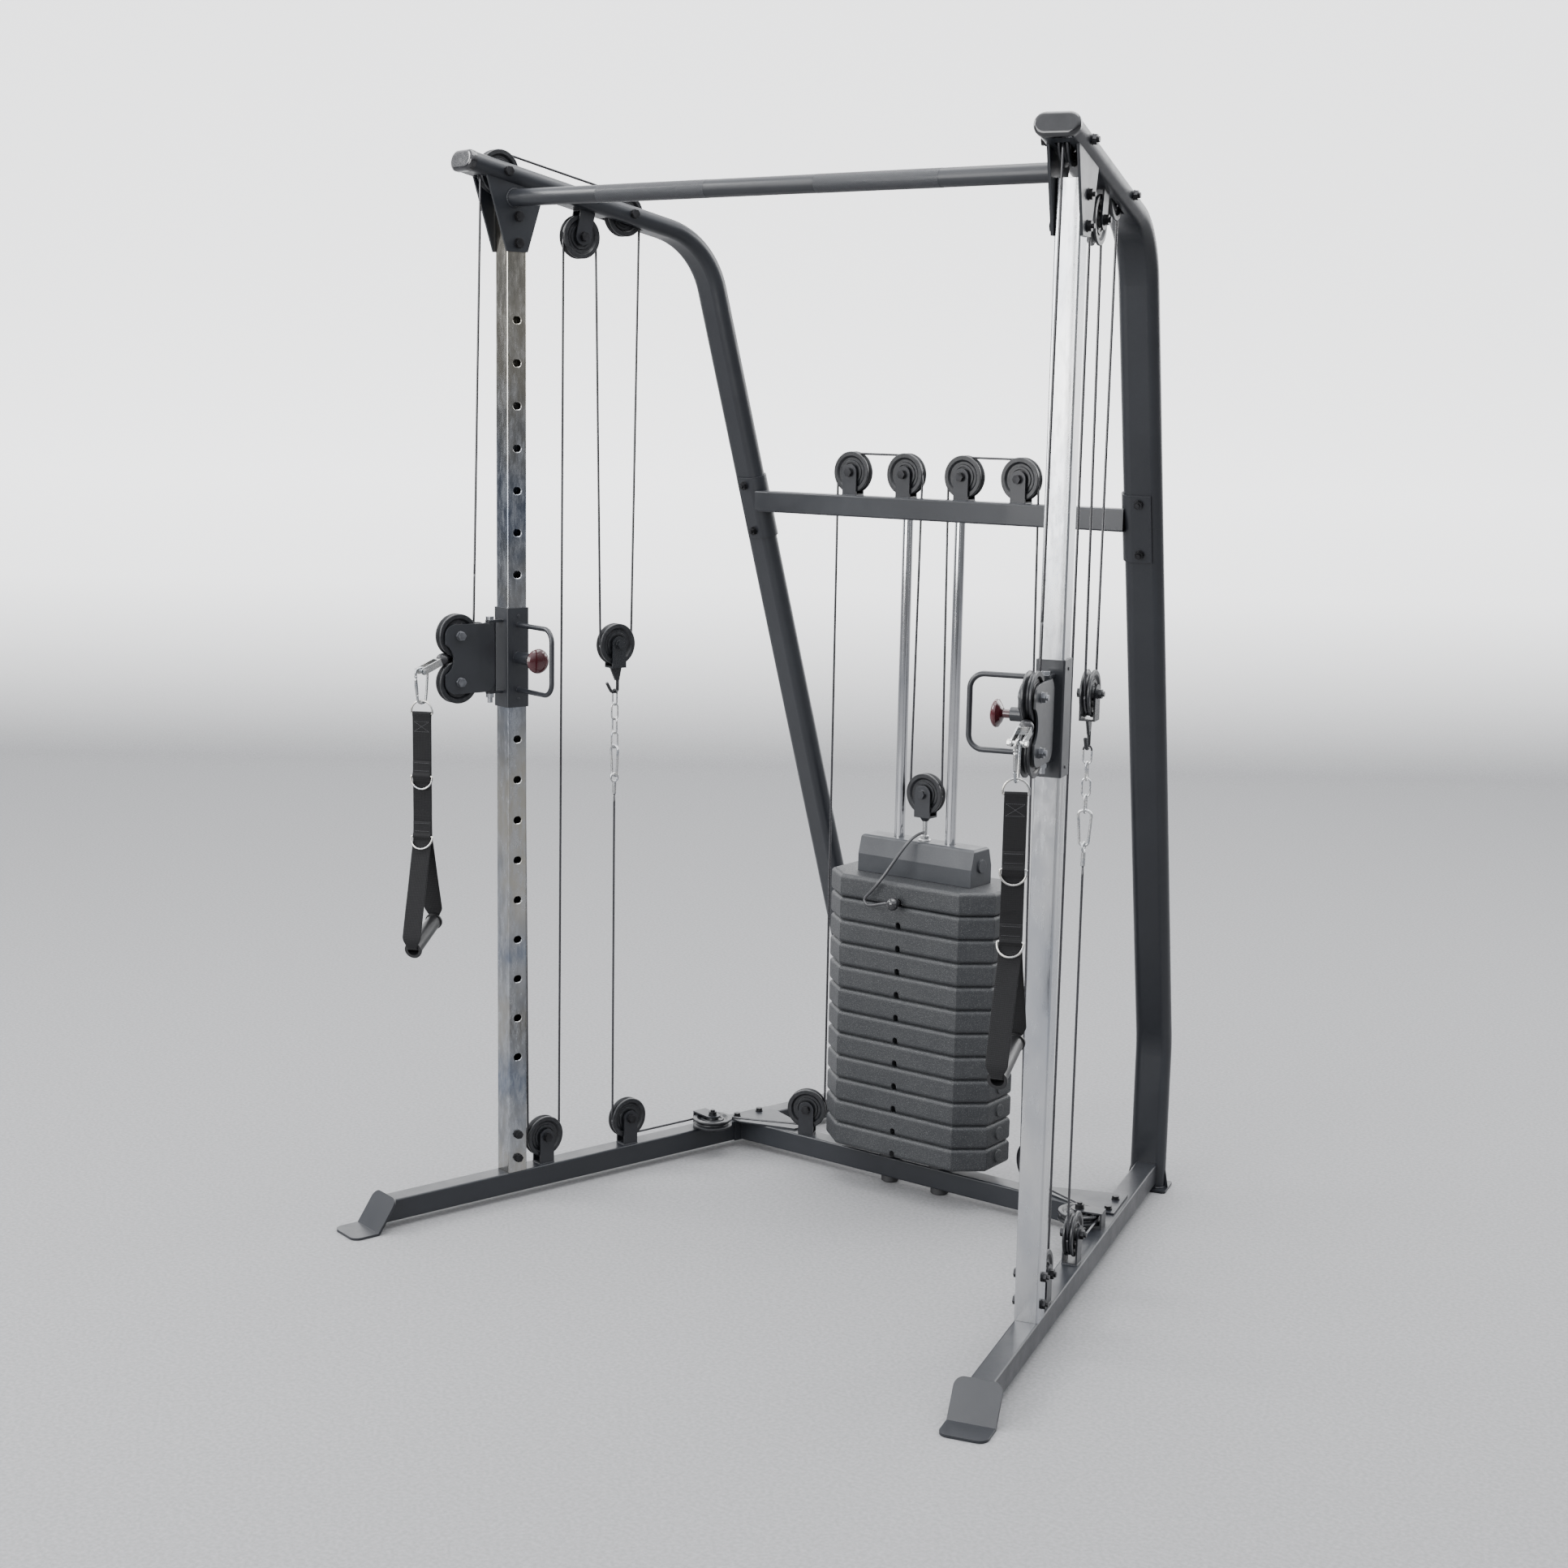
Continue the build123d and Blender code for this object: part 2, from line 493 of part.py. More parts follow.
# ---- carriage and handle -------------------------------------------------------------------
def carriage():
    """Sleeve with hinge lugs in front, lift handle and pin housing inside, cable tab behind."""
    low, high = CARRIAGE_Z - SLEEVE_TALL / 2, CARRIAGE_Z + SLEEVE_TALL / 2
    half = SLEEVE / 2
    sleeve = Pos(0, 0, low) * square_tube(SLEEVE, SLEEVE_WALL, SLEEVE_TALL)
    sleeve -= rod("y", (0, -half, CARRIAGE_Z), PIN_NOSE + 0.08, 12)
    for z in (low + 16, high - 16):
        for n in (-half, half):
            sleeve += rod("y", (0, n, z), 3.2, 3.0) - block(-30, 30, -half + 0.3, half - 0.3, z - 9, z + 9)
    lug_z = (BARREL_TOP + 0.3, BARREL_LOW - 5.3)
    for z in lug_z:
        lug = block(half - 0.4, HINGE_S, -9, 9, z, z + 5) + Pos(HINGE_S, 0, z + 2.5) * Cylinder(9, 5)
        sleeve += lug
    bar = HANDLE_DEPTH
    z0, z1, r = CARRIAGE_Z - 65, CARRIAGE_Z + 66, 26.0
    loop = FilletPolyline((0, -half + 0.4, z1), (0, -bar, z1), (0, -bar, z0), (0, -half + 0.4, z0), radius=[r, r])
    grip = sweep(Plane(origin=loop @ 0, z_dir=loop % 0) * Circle(5.0), path=loop)
    housing = rod("y", (0, -(half + 72.5) / 2, CARRIAGE_Z), 12.2, 72.5 - half)
    housing -= rod("y", (0, -60, CARRIAGE_Z), PIN_NOSE + 0.08, 90) + rod("y", (0, -72.5, CARRIAGE_Z), 7.58, 26)
    tab = block(-34.5, -half + 0.3, -7, 7, low + 4, low + 9) - rod("z", (CABLE_TAIL, 0, low), CABLE_R + 0.3, 40)
    eye = Pos(CABLE_TAIL, 0, low + 12.5) * Cylinder(4.0, 6.5)
    pin = Pos(HINGE_S, 0, (BARREL_TOP + BARREL_LOW) / 2) * Cylinder(HINGE_R, BARREL_TOP - BARREL_LOW + 22)
    pin += hexagon("z", (HINGE_S, 0, BARREL_TOP + 9), 16, 7) + hexagon("z", (HINGE_S, 0, BARREL_LOW - 9.3), 16, 8)
    pin += Pos(HINGE_S, 0, BARREL_LOW - 18) * Cylinder(HINGE_R, 12)
    return sleeve + grip + housing + tab + eye + pin


HANDLE_DEPTH = 147.0
PIN_NOSE = 4.8
CABLE_TAIL = -30.0
BARREL_LOW, BARREL_TOP = CARRIAGE_Z - 66.0, CARRIAGE_Z + 71.0
BARREL_R, HINGE_R = 12.0, 5.0


def pull_pin():
    """Locking pin with its mushroom knob; the nose stands just clear of the upright's face."""
    tip = -(TUBE / 2 + 0.3)
    shaft = rod("y", (0, (tip - 80) / 2, 0), PIN_NOSE, tip + 80)
    stem = rod("y", (0, -81.5, 0), 7.5, 16)
    points = [(0, -86), (9.5, -86), (16, -89), (24, -94.5), (24.8, -98), (22.3, -102), (14, -106.4), (0, -108.3)]
    knob = revolve(make_face([Polyline(*points[:5]), Spline(*points[4:]), Line(points[-1], points[0])]), Axis.Y)
    return Pos(0, 0, CARRIAGE_Z) * (shaft + stem + knob)


def swivel():
    """Hinge barrel with the two waisted side plates and the bolts of its two pulleys."""
    z_up, z_low = CARRIAGE_PULLEY_Z
    middle = (z_up + z_low) / 2
    tall = z_up - z_low + 46.0
    tip = CARRIAGE_PULLEY_S + 31.5
    face = Pos((HINGE_S + tip) / 2, middle) * RectangleRounded(tip - HINGE_S + 4, tall, 22)
    face += Pos(HINGE_S + 12, middle) * RectangleRounded(28, tall - 24, 6)
    face -= Pos(tip + 18, middle) * Circle(34)
    shape = Pos(HINGE_S, 0, (BARREL_LOW + BARREL_TOP) / 2) * Cylinder(BARREL_R, BARREL_TOP - BARREL_LOW)
    plate = extrude(Plane.XZ * face, 4)
    thick = plate.bounding_box().center().Y
    for n in (-GAP / 2 - 2, GAP / 2 + 2):
        shape += Pos(0, n - thick, 0) * plate
    shape -= Pos(HINGE_S, 0, middle) * Cylinder(HINGE_R + 0.08, 300)
    axles = []
    for z in (z_up, z_low):
        shape -= rod("y", (CARRIAGE_PULLEY_S, 0, z), AXLE_R + 0.05, 60)
        axles.append(Pos(CARRIAGE_PULLEY_S, 0, z) * axle(GAP / 2 + 4))
    return [shape] + axles


def cable_end():
    """Rubber ball stop and the bent clevis with its cross bolt."""
    drop = math.atan2(BALL[1] - HANG[1], HANG[0] - BALL[0])
    reach = math.hypot(HANG[0] - BALL[0], BALL[1] - HANG[1])
    ball = Sphere(BALL_R)
    strap = block(9, 13.5, -12, 12, -7, 7)
    for n in (-10.5, 10.5):
        strap += block(9, reach, n - 1.5, n + 1.5, -7, 7) + rod("y", (reach, n, 0), 7, 3)
    strap += rod("y", (reach, 0, 0), 3.2, 36) + hexagon("y", (reach, -15, 0), 10, 5) + hexagon("y", (reach, 15, 0), 10, 5)
    tilt = Pos(BALL[0], 0, BALL[1]) * Rot(0, math.degrees(drop), 0)
    return tilt * (ball + strap)


WEB_W, WEB_T = 38.0, 2.4
# heights from the clevis bolt: ring bars, webbing and grip
RING_Z = (-84.0, -208.0, -329.0)
SPLIT, GRIP_Z = -340.0, -530.0
GRIP_HALF, GRIP_R, GRIP_TILT = 60.0, 15.0, 17.0
STRAP_YAW = {"left": 51.6, "right": 105.8}
LOOP_YAW = {"left": 0.0, "right": -14.0}     # extra turn of the hand loop under the webbing


def d_ring(z, y, sign):
    """D ring: a straight bar at height z and a round bow above or below it."""
    r, wire = 21.5, 2.0
    ring = bend((-r, y, z), (0, y, z + sign * (r + 4)), (r, y, z), wire) + strut((-r, y, z), (r, y, z), wire)
    return ring + Pos(-r, y, z) * Sphere(wire) + Pos(r, y, z) * Sphere(wire)


def carabiner(top, low, half_top, half_low, wire):
    """Closed pear-shaped snap hook in the XZ plane; top and low are heights of the wire's centre."""
    corners = [(half_top, 0, top), (half_low, 0, low), (-half_low, 0, low), (-half_top, 0, top)]
    radii = [half_top * 0.72, half_low * 0.8, half_low * 0.8, half_top * 0.72]
    loop = FilletPolyline(*corners, radius=radii, close=True)
    return sweep(Plane(origin=loop @ 0, z_dir=loop % 0) * Circle(wire), path=loop)


def grip_point(y, z):
    """Point of the loop near the grip, given from the grip's middle along its tilted axis."""
    t = math.radians(GRIP_TILT)
    return (y * math.cos(t) - z * math.sin(t), GRIP_Z + y * math.sin(t) + z * math.cos(t))


def strap_parts(side):
    """Webbing and D rings under the clevis bolt: local X is the webbing's width, the front is -Y."""
    half, w = WEB_W / 2, WEB_T
    webbing = block(-half, half, -w, w, SPLIT, RING_Z[0] - 2.4) + rod("x", (0, 0, RING_Z[0]), 4.8, WEB_W - 0.5)
    webbing -= rod("x", (0, 0, RING_Z[0]), 2.25, WEB_W + 10)
    for z in RING_Z[1:]:
        webbing += rod("x", (0, -w - 2.4, z), 4.4, WEB_W - 0.5)
        webbing -= rod("x", (0, -w - 2.4, z), 2.25, WEB_W + 10)
    end = GRIP_HALF + 4.5
    outer = [(w, SPLIT + 3), grip_point(end, 19), grip_point(end, -w), grip_point(-end, -w), grip_point(-end, 19),
             (-w, SPLIT + 3)]
    inner = [(0, SPLIT - 13), grip_point(end - w, 19.5), grip_point(end - w, 0), grip_point(w - end, 0),
             grip_point(w - end, 19.5)]
    loop = extrude(Plane.YZ * make_face(Polyline(*outer, close=True)), half, both=True)
    loop -= extrude(Plane.YZ * make_face(Polyline(*inner, close=True)), half + 1, both=True)
    taper = [(-half, 0), (half, 0), (half, GRIP_Z + 80), (10, GRIP_Z + 30), (10, GRIP_Z - 60), (-10, GRIP_Z - 60),
             (-10, GRIP_Z + 30), (-half, GRIP_Z + 80)]
    loop &= extrude(Plane.XZ * make_face(Polyline(*taper, close=True)), 120, both=True)
    rings = [d_ring(RING_Z[0], 0, 1)] + [d_ring(z, -w - 2.4, -1) for z in RING_Z[1:]]
    return [webbing + Rot(0, 0, LOOP_YAW[side]) * loop] + rings


def strap(side):
    snap = Pos(HANG[0], 0, HANG[1]) * carabiner(6.1, -63.4, 13.0, 10.0, 2.5)
    return [snap] + [Pos(HANG[0], 0, HANG[1]) * Rot(0, 0, STRAP_YAW[side]) * shape for shape in strap_parts(side)]


def grip(side):
    """Tube that turns round the bottom of the strap loop."""
    tube = rod("y", (0, 0, 0), GRIP_R, 2 * GRIP_HALF)
    for end in (-1, 1):
        tube += rod("y", (0, end * (GRIP_HALF - 2), 0), GRIP_R + 2.5, 4)
    tube -= rod("y", (0, 0, 0), 11.4, 2 * GRIP_HALF + 4)
    tube = Pos(0, 0, GRIP_Z) * Rot(GRIP_TILT, 0, 0) * Pos(0, 0, -WEB_T / 2) * tube
    return Pos(HANG[0], 0, HANG[1]) * Rot(0, 0, STRAP_YAW[side] + LOOP_YAW[side]) * tube


# ---- floating pulleys ----------------------------------------------------------------------
LINK, LINK_HALF, LINK_WIRE = 37.0, 9.3, 1.7


def chain_link():
    """One oval chain link in the XZ plane."""
    h, w = LINK / 2 - LINK_WIRE, LINK_HALF - LINK_WIRE
    link = bend((-w, 0, h - w), (0, 0, h), (w, 0, h - w), LINK_WIRE)
    link += bend((-w, 0, w - h), (0, 0, -h), (w, 0, w - h), LINK_WIRE)
    for x in (-w, w):
        link += strut((x, 0, w - h), (x, 0, h - w), LINK_WIRE)
    return link


FLOAT_BASE = FLOAT[1] - 49.0
HOOK_LOW = FLOAT_BASE - 51.0
LINK_STEP = LINK - 4 * LINK_WIRE - 0.1
FIRST_LINK = HOOK_LOW + 3.4 + 2 * LINK_WIRE + 0.3 - LINK / 2
SNAP_TOP = FIRST_LINK - 3 * LINK_STEP - LINK / 2 + 2 * LINK_WIRE + 2.6 + 0.3
SNAP_LOW = SNAP_TOP - 64.0
EYE_Z = SNAP_LOW - 3.5
CABLE_HEAD = EYE_Z - 35.0


def floating_bracket():
    """Upside-down bracket, welded point and hook, chain, snap hook and the cable's eye."""
    s, z = FLOAT
    base, chain_s = FLOAT_BASE, s + 1.5
    outline = [(s - 14, base + 0.5), (s + 14, base + 0.5), (s + 1, base - 27), (s - 8, base - 27)]
    blade = extrude(Plane.XZ * make_face(Polyline(*outline, close=True)), 2.5, both=True)
    points = [(s - 5, 0, base - 20), (s - 5, 0, HOOK_LOW), (s + 10, 0, HOOK_LOW), (s + 22, 0, base - 31)]
    path = FilletPolyline(*points, radius=[6, 9])
    hook = sweep(Plane(origin=path @ 0, z_dir=path % 0) * Circle(3.4), path=path)
    shapes = [Pos(s, 0, base) * bracket(49.0) + blade + hook, Pos(s, 0, z) * axle()]
    for k in range(4):
        shapes.append(Pos(chain_s, 0, FIRST_LINK - k * LINK_STEP) * Rot(0, 0, 90 * ((k + 1) % 2)) * chain_link())
    shapes.append(Pos(chain_s, 0, 0) * Rot(0, 0, 90) * carabiner(SNAP_TOP, SNAP_LOW, 13.0, 8.0, 2.6))
    eye = Pos(chain_s, 0, EYE_Z) * TURN["y"] * Torus(8.5, 2.2)
    ferrule = Pos(chain_s, 0, EYE_Z - 22.0) * Cylinder(4.2, 26)
    return shapes + [eye + ferrule]


# ---- cables --------------------------------------------------------------------------------
def handle_cable():
    """Carriage tab, front rail pulley, hanging pulley, float, rear and front top pulleys, swivel, ball."""
    hang = hanging_axle()
    tail = (CABLE_TAIL, CARRIAGE_Z - SLEEVE_TALL / 2 + 9.2, 0, 1)
    wheels = [(RAIL_PULLEYS[0], LOW_AXLE, CABLE_AT, -1), (*hang, CABLE_AT, 1), (*FLOAT, CABLE_AT, -1),
              (*REAR_PULLEY, CABLE_AT, -1), (*TOP_PULLEY, CABLE_AT, -1),
              (CARRIAGE_PULLEY_S, CARRIAGE_PULLEY_Z[0], CABLE_AT, 1)]
    pieces = belt([tail, *wheels, (*BALL, 0, 1)])
    solids = cable(pieces, lambda s, z: (s, 0, z))
    whole = solids[0].fuse(*solids[1:])
    return whole - Pos(BALL[0], 0, BALL[1]) * Sphere(BALL_R + 0.1)


def hanging_axle():
    s = HANG_ON_ARM + HANG_DROP * math.sin(ARM_RISE)
    return (s, ARM_Z + 0.21 * HANG_ON_ARM - HANG_DROP * math.cos(ARM_RISE))


def cross_lead():
    """Plan view of the corner: where the cable leaves the corner pulley, and its heading past it."""
    x, y = rail_point(CORNER_S, -CABLE_AT)
    leave, arrive = tangent((x, y, CABLE_AT, 1), (CROSS_X, STACK_Y, 0, 1))
    yaw = math.atan2(arrive[1] - leave[1], leave[0] - arrive[0])
    return (x, y), leave, yaw


def stack_cable():
    """Float, rear rail pulley, corner, crossbeam and mid crossbar pulleys, stack pulley, and back."""
    low = LOW_AXLE - CABLE_AT
    pieces = belt([(FLOAT[0] + 1.5, CABLE_HEAD - 0.1, 0, 1), (RAIL_PULLEYS[1], LOW_AXLE, CABLE_AT, -1),
                   (CORNER_S, low, 0, 1)])
    half = [right(solid) for solid in cable(pieces, lambda s, z: (s, 0, z))]
    centre, leave, yaw = cross_lead()
    enter = rail_point(CORNER_S, 0)
    start = math.atan2(enter[1] - centre[1], enter[0] - centre[0])
    end = math.atan2(leave[1] - centre[1], leave[0] - centre[0])
    mid = (start + end) / 2
    middle = (centre[0] + CABLE_AT * math.cos(mid), centre[1] + CABLE_AT * math.sin(mid))
    half.append(bend((*enter, low), (*middle, low), (*leave, low), CABLE_R))
    half.append(strut((*leave, low), (CROSS_X, STACK_Y, low), CABLE_R))

    def cross(angle):
        out = CABLE_AT * math.cos(angle)
        return (CROSS_X - out * math.cos(yaw), STACK_Y + out * math.sin(yaw), LOW_AXLE + CABLE_AT * math.sin(angle))

    half.append(bend(cross(-math.pi / 2), cross(-math.pi / 4), cross(0), CABLE_R))
    half.append(strut(cross(0), (MID_X[0] + CABLE_AT, STACK_Y, MID_AXLE), CABLE_R))
    over = belt([(MID_X[0] + CABLE_AT, MID_AXLE - 0.5, 0, 1), (MID_X[0], MID_AXLE, CABLE_AT, 1),
                 (MID_X[1], MID_AXLE, CABLE_AT, 1), (0, STACK_AXLE, CABLE_AT, -1), (-60, STACK_AXLE - CABLE_AT, 0, 1)])
    half += cable(over[1:-2], lambda x, z: (x, STACK_Y, z))
    x, z = over[-3][2]
    under = bend((x, STACK_Y, z), (0, STACK_Y, STACK_AXLE - CABLE_AT), (-x, STACK_Y, z), CABLE_R)
    other = [mirror(solid, about=Plane.YZ) for solid in half]
    return half[0].fuse(*half[1:], *other, under)


# ---- pulley places -------------------------------------------------------------------------
def side_pulleys():
    """Name, place in the side frame and bracket height of each pulley that a side frame carries."""
    hang = hanging_axle()
    tilt = -math.degrees(ARM_RISE)
    return {
        "front_top_pulley": Pos(TOP_PULLEY[0], 0, TOP_PULLEY[1]),
        "rear_top_pulley": Pos(REAR_PULLEY[0], 0, REAR_PULLEY[1]),
        "hanging_pulley": Pos(hang[0], 0, hang[1]) * Rot(0, tilt, 0),
        "floating_pulley": Pos(FLOAT[0], 0, FLOAT[1]),
        "rail_front_pulley": Pos(RAIL_PULLEYS[0], 0, LOW_AXLE),
        "rail_rear_pulley": Pos(RAIL_PULLEYS[1], 0, LOW_AXLE),
        "corner_pulley": Pos(CORNER_S, -CABLE_AT, LOW_AXLE - CABLE_AT) * Rot(90, 0, 0),
        "carriage_upper_pulley": Pos(CARRIAGE_PULLEY_S, 0, CARRIAGE_PULLEY_Z[0]),
        "carriage_lower_pulley": Pos(CARRIAGE_PULLEY_S, 0, CARRIAGE_PULLEY_Z[1]),
    }


def row_pulleys():
    """The same for the pulleys on the crossbeam and the mid crossbar, in the row's frame."""
    yaw = math.degrees(cross_lead()[2])
    return {
        "crossbeam_pulley": Pos(CROSS_X, STACK_Y, LOW_AXLE) * Rot(0, 0, -yaw),
        "mid_outer_pulley": Pos(MID_X[0], STACK_Y, MID_AXLE),
        "mid_inner_pulley": Pos(MID_X[1], STACK_Y, MID_AXLE),
    }


def twin(shape):
    return [shape, mirror(shape, about=Plane.YZ)]


def fixed_brackets():
    """U brackets welded to the frame, in pairs."""
    places = side_pulleys()
    shapes = []
    for name in ("rail_front_pulley", "rail_rear_pulley"):
        shapes += both(places[name] * Pos(0, 0, RAIL_TOP - LOW_AXLE + 0.05) * bracket(LOW_AXLE - RAIL_TOP - 0.05))
    drop = HANG_DROP - OVAL_H / 2 - 0.1
    shapes += both(places["hanging_pulley"] * Pos(0, 0, drop) * Rot(180, 0, 0) * bracket(drop))
    corner = places["corner_pulley"] * Pos(0, 0, -49) * bracket(49)
    low = LOW_AXLE - CABLE_AT - GAP / 2 - EAR
    corner += block(CORNER_S - 17, CORNER_S + 17, -21, 49 - CABLE_AT, RAIL_TOP + 0.05, low + 0.5)
    shapes += both(corner)
    places = row_pulleys()
    rise = LOW_AXLE - RAIL_TOP - 0.05
    shapes += twin(places["crossbeam_pulley"] * Pos(0, 0, -rise) * bracket(rise))
    rise = MID_AXLE - MID_TOP - 0.05
    for name in ("mid_outer_pulley", "mid_inner_pulley"):
        shapes += twin(places[name] * Pos(0, 0, -rise) * bracket(rise))
    return shapes


def frame_bolts():
    """Bolts of the frame and the axles of the pulleys that stay put."""
    shapes = []
    for z in (89.0, 139.5):
        shapes += both(bolt("y", (0, 0, z), TUBE))
    for z in (1946.7, 1997.0):
        shapes += both(bolt("y", (0, 0, z), 54.8, across=17.0))
    for z in (POST_Z, 1381.0):
        place = Pos(post_s(z), -4.0, z) * Rot(0, math.degrees(lean), 0)
        shapes += both(place * bolt("x", (0, 0, 0), OVAL_H + 7.4))
    for s in (-592, -655):
        top = RAIL_TOP + 3.6
        head = Pos(s, -4, top - 1.7) * Cylinder(4.0, 3.4) + Pos(s, -4, top + 0.8) * Cylinder(8.5, 1.6)
        shapes += both(head + hexagon("z", (s, -4, top + 4.4), 13, 5.8))
    places = side_pulleys()
    for name in ("front_top_pulley", "rear_top_pulley"):
        shapes += both(places[name] * axle(OVAL_W / 2 + 0.05, spacer=21.0))
    for name in ("hanging_pulley", "rail_front_pulley", "rail_rear_pulley"):
        shapes += both(places[name] * axle())
    shapes += both(places["corner_pulley"] * axle())
    for place in row_pulleys().values():
        shapes += twin(place * axle())
    return shapes


# ---- parts ---------------------------------------------------------------------------------
write("base_rails", both(base_rail()))
write("base_crossbeam", crossbeam())
write("rubber_pads", pads())
write("uprights", both(upright()))
write("top_arms", both(top_arm()))
write("rear_posts", both(rear_post()))
write("arm_end_caps", both(arm_cap()))
write("mid_crossbar", mid_crossbar())
write("pull_up_bar", pull_up_bar())
rod_z = (RAIL_TOP + 0.05, MID_TOP - MID_SIZE - 0.05)
write("guide_rods", [rod("z", (x, STACK_Y, sum(rod_z) / 2), ROD_R, rod_z[1] - rod_z[0]) for x in (-ROD_X, ROD_X)])
write("pulley_brackets", fixed_brackets())
write("frame_bolts", frame_bolts())

plate = weight_plate()
write("lower_weight_plates", [Pos(0, STACK_Y, plate_bottom(k)) * plate for k in range(PLATES - 1)])
write("top_weight_plate", Pos(0, STACK_Y, plate_bottom(PLATES - 1)) * plate)
write("stack_head", [stack_head()] + selector_stem())
write("selector_pin", selector_pin())
write("pin_lanyard", lanyard())

wheel = pulley()
write("stack_pulley", Pos(0, STACK_Y, STACK_AXLE) * wheel)
for name, place in side_pulleys().items():
    write(f"{name}_right", right(place * wheel))
    write(f"{name}_left", left(place * wheel))
for name, place in row_pulleys().items():
    write(f"{name}_right", place * wheel)
    write(f"{name}_left", mirror(place * wheel, about=Plane.YZ))

for name, side in (("right", right), ("left", left)):
    write(f"carriage_{name}", side(carriage()))
    write(f"pull_pin_{name}", side(pull_pin()))
    write(f"swivel_{name}", [side(shape) for shape in swivel()])
    write(f"cable_end_{name}", side(cable_end()))
    write(f"strap_{name}", [side(shape) for shape in strap(name)])
    write(f"grip_{name}", side(grip(name)))
    write(f"float_{name}", [side(shape) for shape in floating_bracket()])
    write(f"handle_cable_{name}", side(handle_cable()))
write("stack_cable", stack_cable())
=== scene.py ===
import math
import random

import bpy
from mathutils import Matrix, Vector


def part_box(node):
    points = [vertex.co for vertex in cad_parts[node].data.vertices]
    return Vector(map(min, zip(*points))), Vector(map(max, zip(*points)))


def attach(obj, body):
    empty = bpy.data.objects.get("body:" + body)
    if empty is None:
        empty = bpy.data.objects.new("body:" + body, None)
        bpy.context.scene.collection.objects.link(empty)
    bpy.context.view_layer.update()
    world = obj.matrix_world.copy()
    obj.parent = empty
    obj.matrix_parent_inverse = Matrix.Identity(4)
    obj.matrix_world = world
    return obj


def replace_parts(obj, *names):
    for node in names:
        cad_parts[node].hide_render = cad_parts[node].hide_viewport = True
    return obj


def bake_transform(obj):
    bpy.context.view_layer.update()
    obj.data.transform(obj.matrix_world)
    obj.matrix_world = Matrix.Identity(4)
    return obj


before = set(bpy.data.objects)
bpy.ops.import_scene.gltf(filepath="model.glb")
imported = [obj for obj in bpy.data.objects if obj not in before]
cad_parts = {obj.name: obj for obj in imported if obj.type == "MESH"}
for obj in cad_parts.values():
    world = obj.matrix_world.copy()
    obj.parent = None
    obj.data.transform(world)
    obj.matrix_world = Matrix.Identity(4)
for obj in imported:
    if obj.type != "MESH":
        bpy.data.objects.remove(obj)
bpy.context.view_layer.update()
random.seed(7)

# ---- measures shared with the CAD, in metres ------------------------------------------------
SPLAY = math.radians(14.57)
ROD_R = 0.011
STACK_BACK = 0.5845      # from the uprights back to the guide rods
UPRIGHT = (0.624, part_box("guide_rods")[0][1] + ROD_R - STACK_BACK)
STACK_Y = UPRIGHT[1] + STACK_BACK
CARRIAGE_Z = 1.136
ARM_Z = 2.0738
ROUND = 0.0387           # radius of the cable's centre line on a pulley
CABLE_R = 0.0024
SIDES = ("right", "left")
ARM_SLOPE = 0.21
TOP, REAR = (0.0296, ARM_Z + 0.0296 * ARM_SLOPE), (-0.267, ARM_Z - 0.267 * ARM_SLOPE)
RISE = math.atan(ARM_SLOPE)
HANG_S, HANG_DROP = -0.1754, 0.07
HANG = (HANG_S + HANG_DROP * math.sin(RISE), ARM_Z + HANG_S * ARM_SLOPE - HANG_DROP * math.cos(RISE))
FLOAT = (-0.2545, 1.1475)
RAIL = (-0.0773, -0.2922)
LOW_Z = 0.116
CORNER_S = -0.496
CARRIAGE_WHEEL = (0.1275, CARRIAGE_Z + 0.049)
BALL = (0.160, CARRIAGE_Z + 0.003)
STRAP_PIN = (0.207, CARRIAGE_Z - 0.017)
CROSS_X = 0.286
MID_X, MID_Z = (0.2027, 0.070), 1.5095
STACK_Z = 0.8536
PLATE_BASE, PLATES, PLATE_PITCH = 0.088, 12, 0.0492
HEAD_Z = PLATE_BASE + PLATES * PLATE_PITCH
BAR_Z = 2.0317
HEAD_CLEAR = 0.0775       # just over the head block's top, where the metal above it starts
BRACKET_DROP = 0.0572     # from the stack pulley's axle down to its bracket
CHAIN_TOP = 1.0440        # where the black hook ends and the bright chain starts
STRAP_YAW = {"right": math.radians(105.8), "left": math.radians(51.6)}
LOOP_YAW = {"right": math.radians(-14.0), "left": 0.0}


def side_point(side, s, n, z):
    """A point of a side frame (forward, outward, up) in the row frame."""
    x = UPRIGHT[0] + s * math.sin(SPLAY) + n * math.cos(SPLAY)
    y = UPRIGHT[1] - s * math.cos(SPLAY) + n * math.sin(SPLAY)
    return Vector((x if side == "right" else -x, y, z))


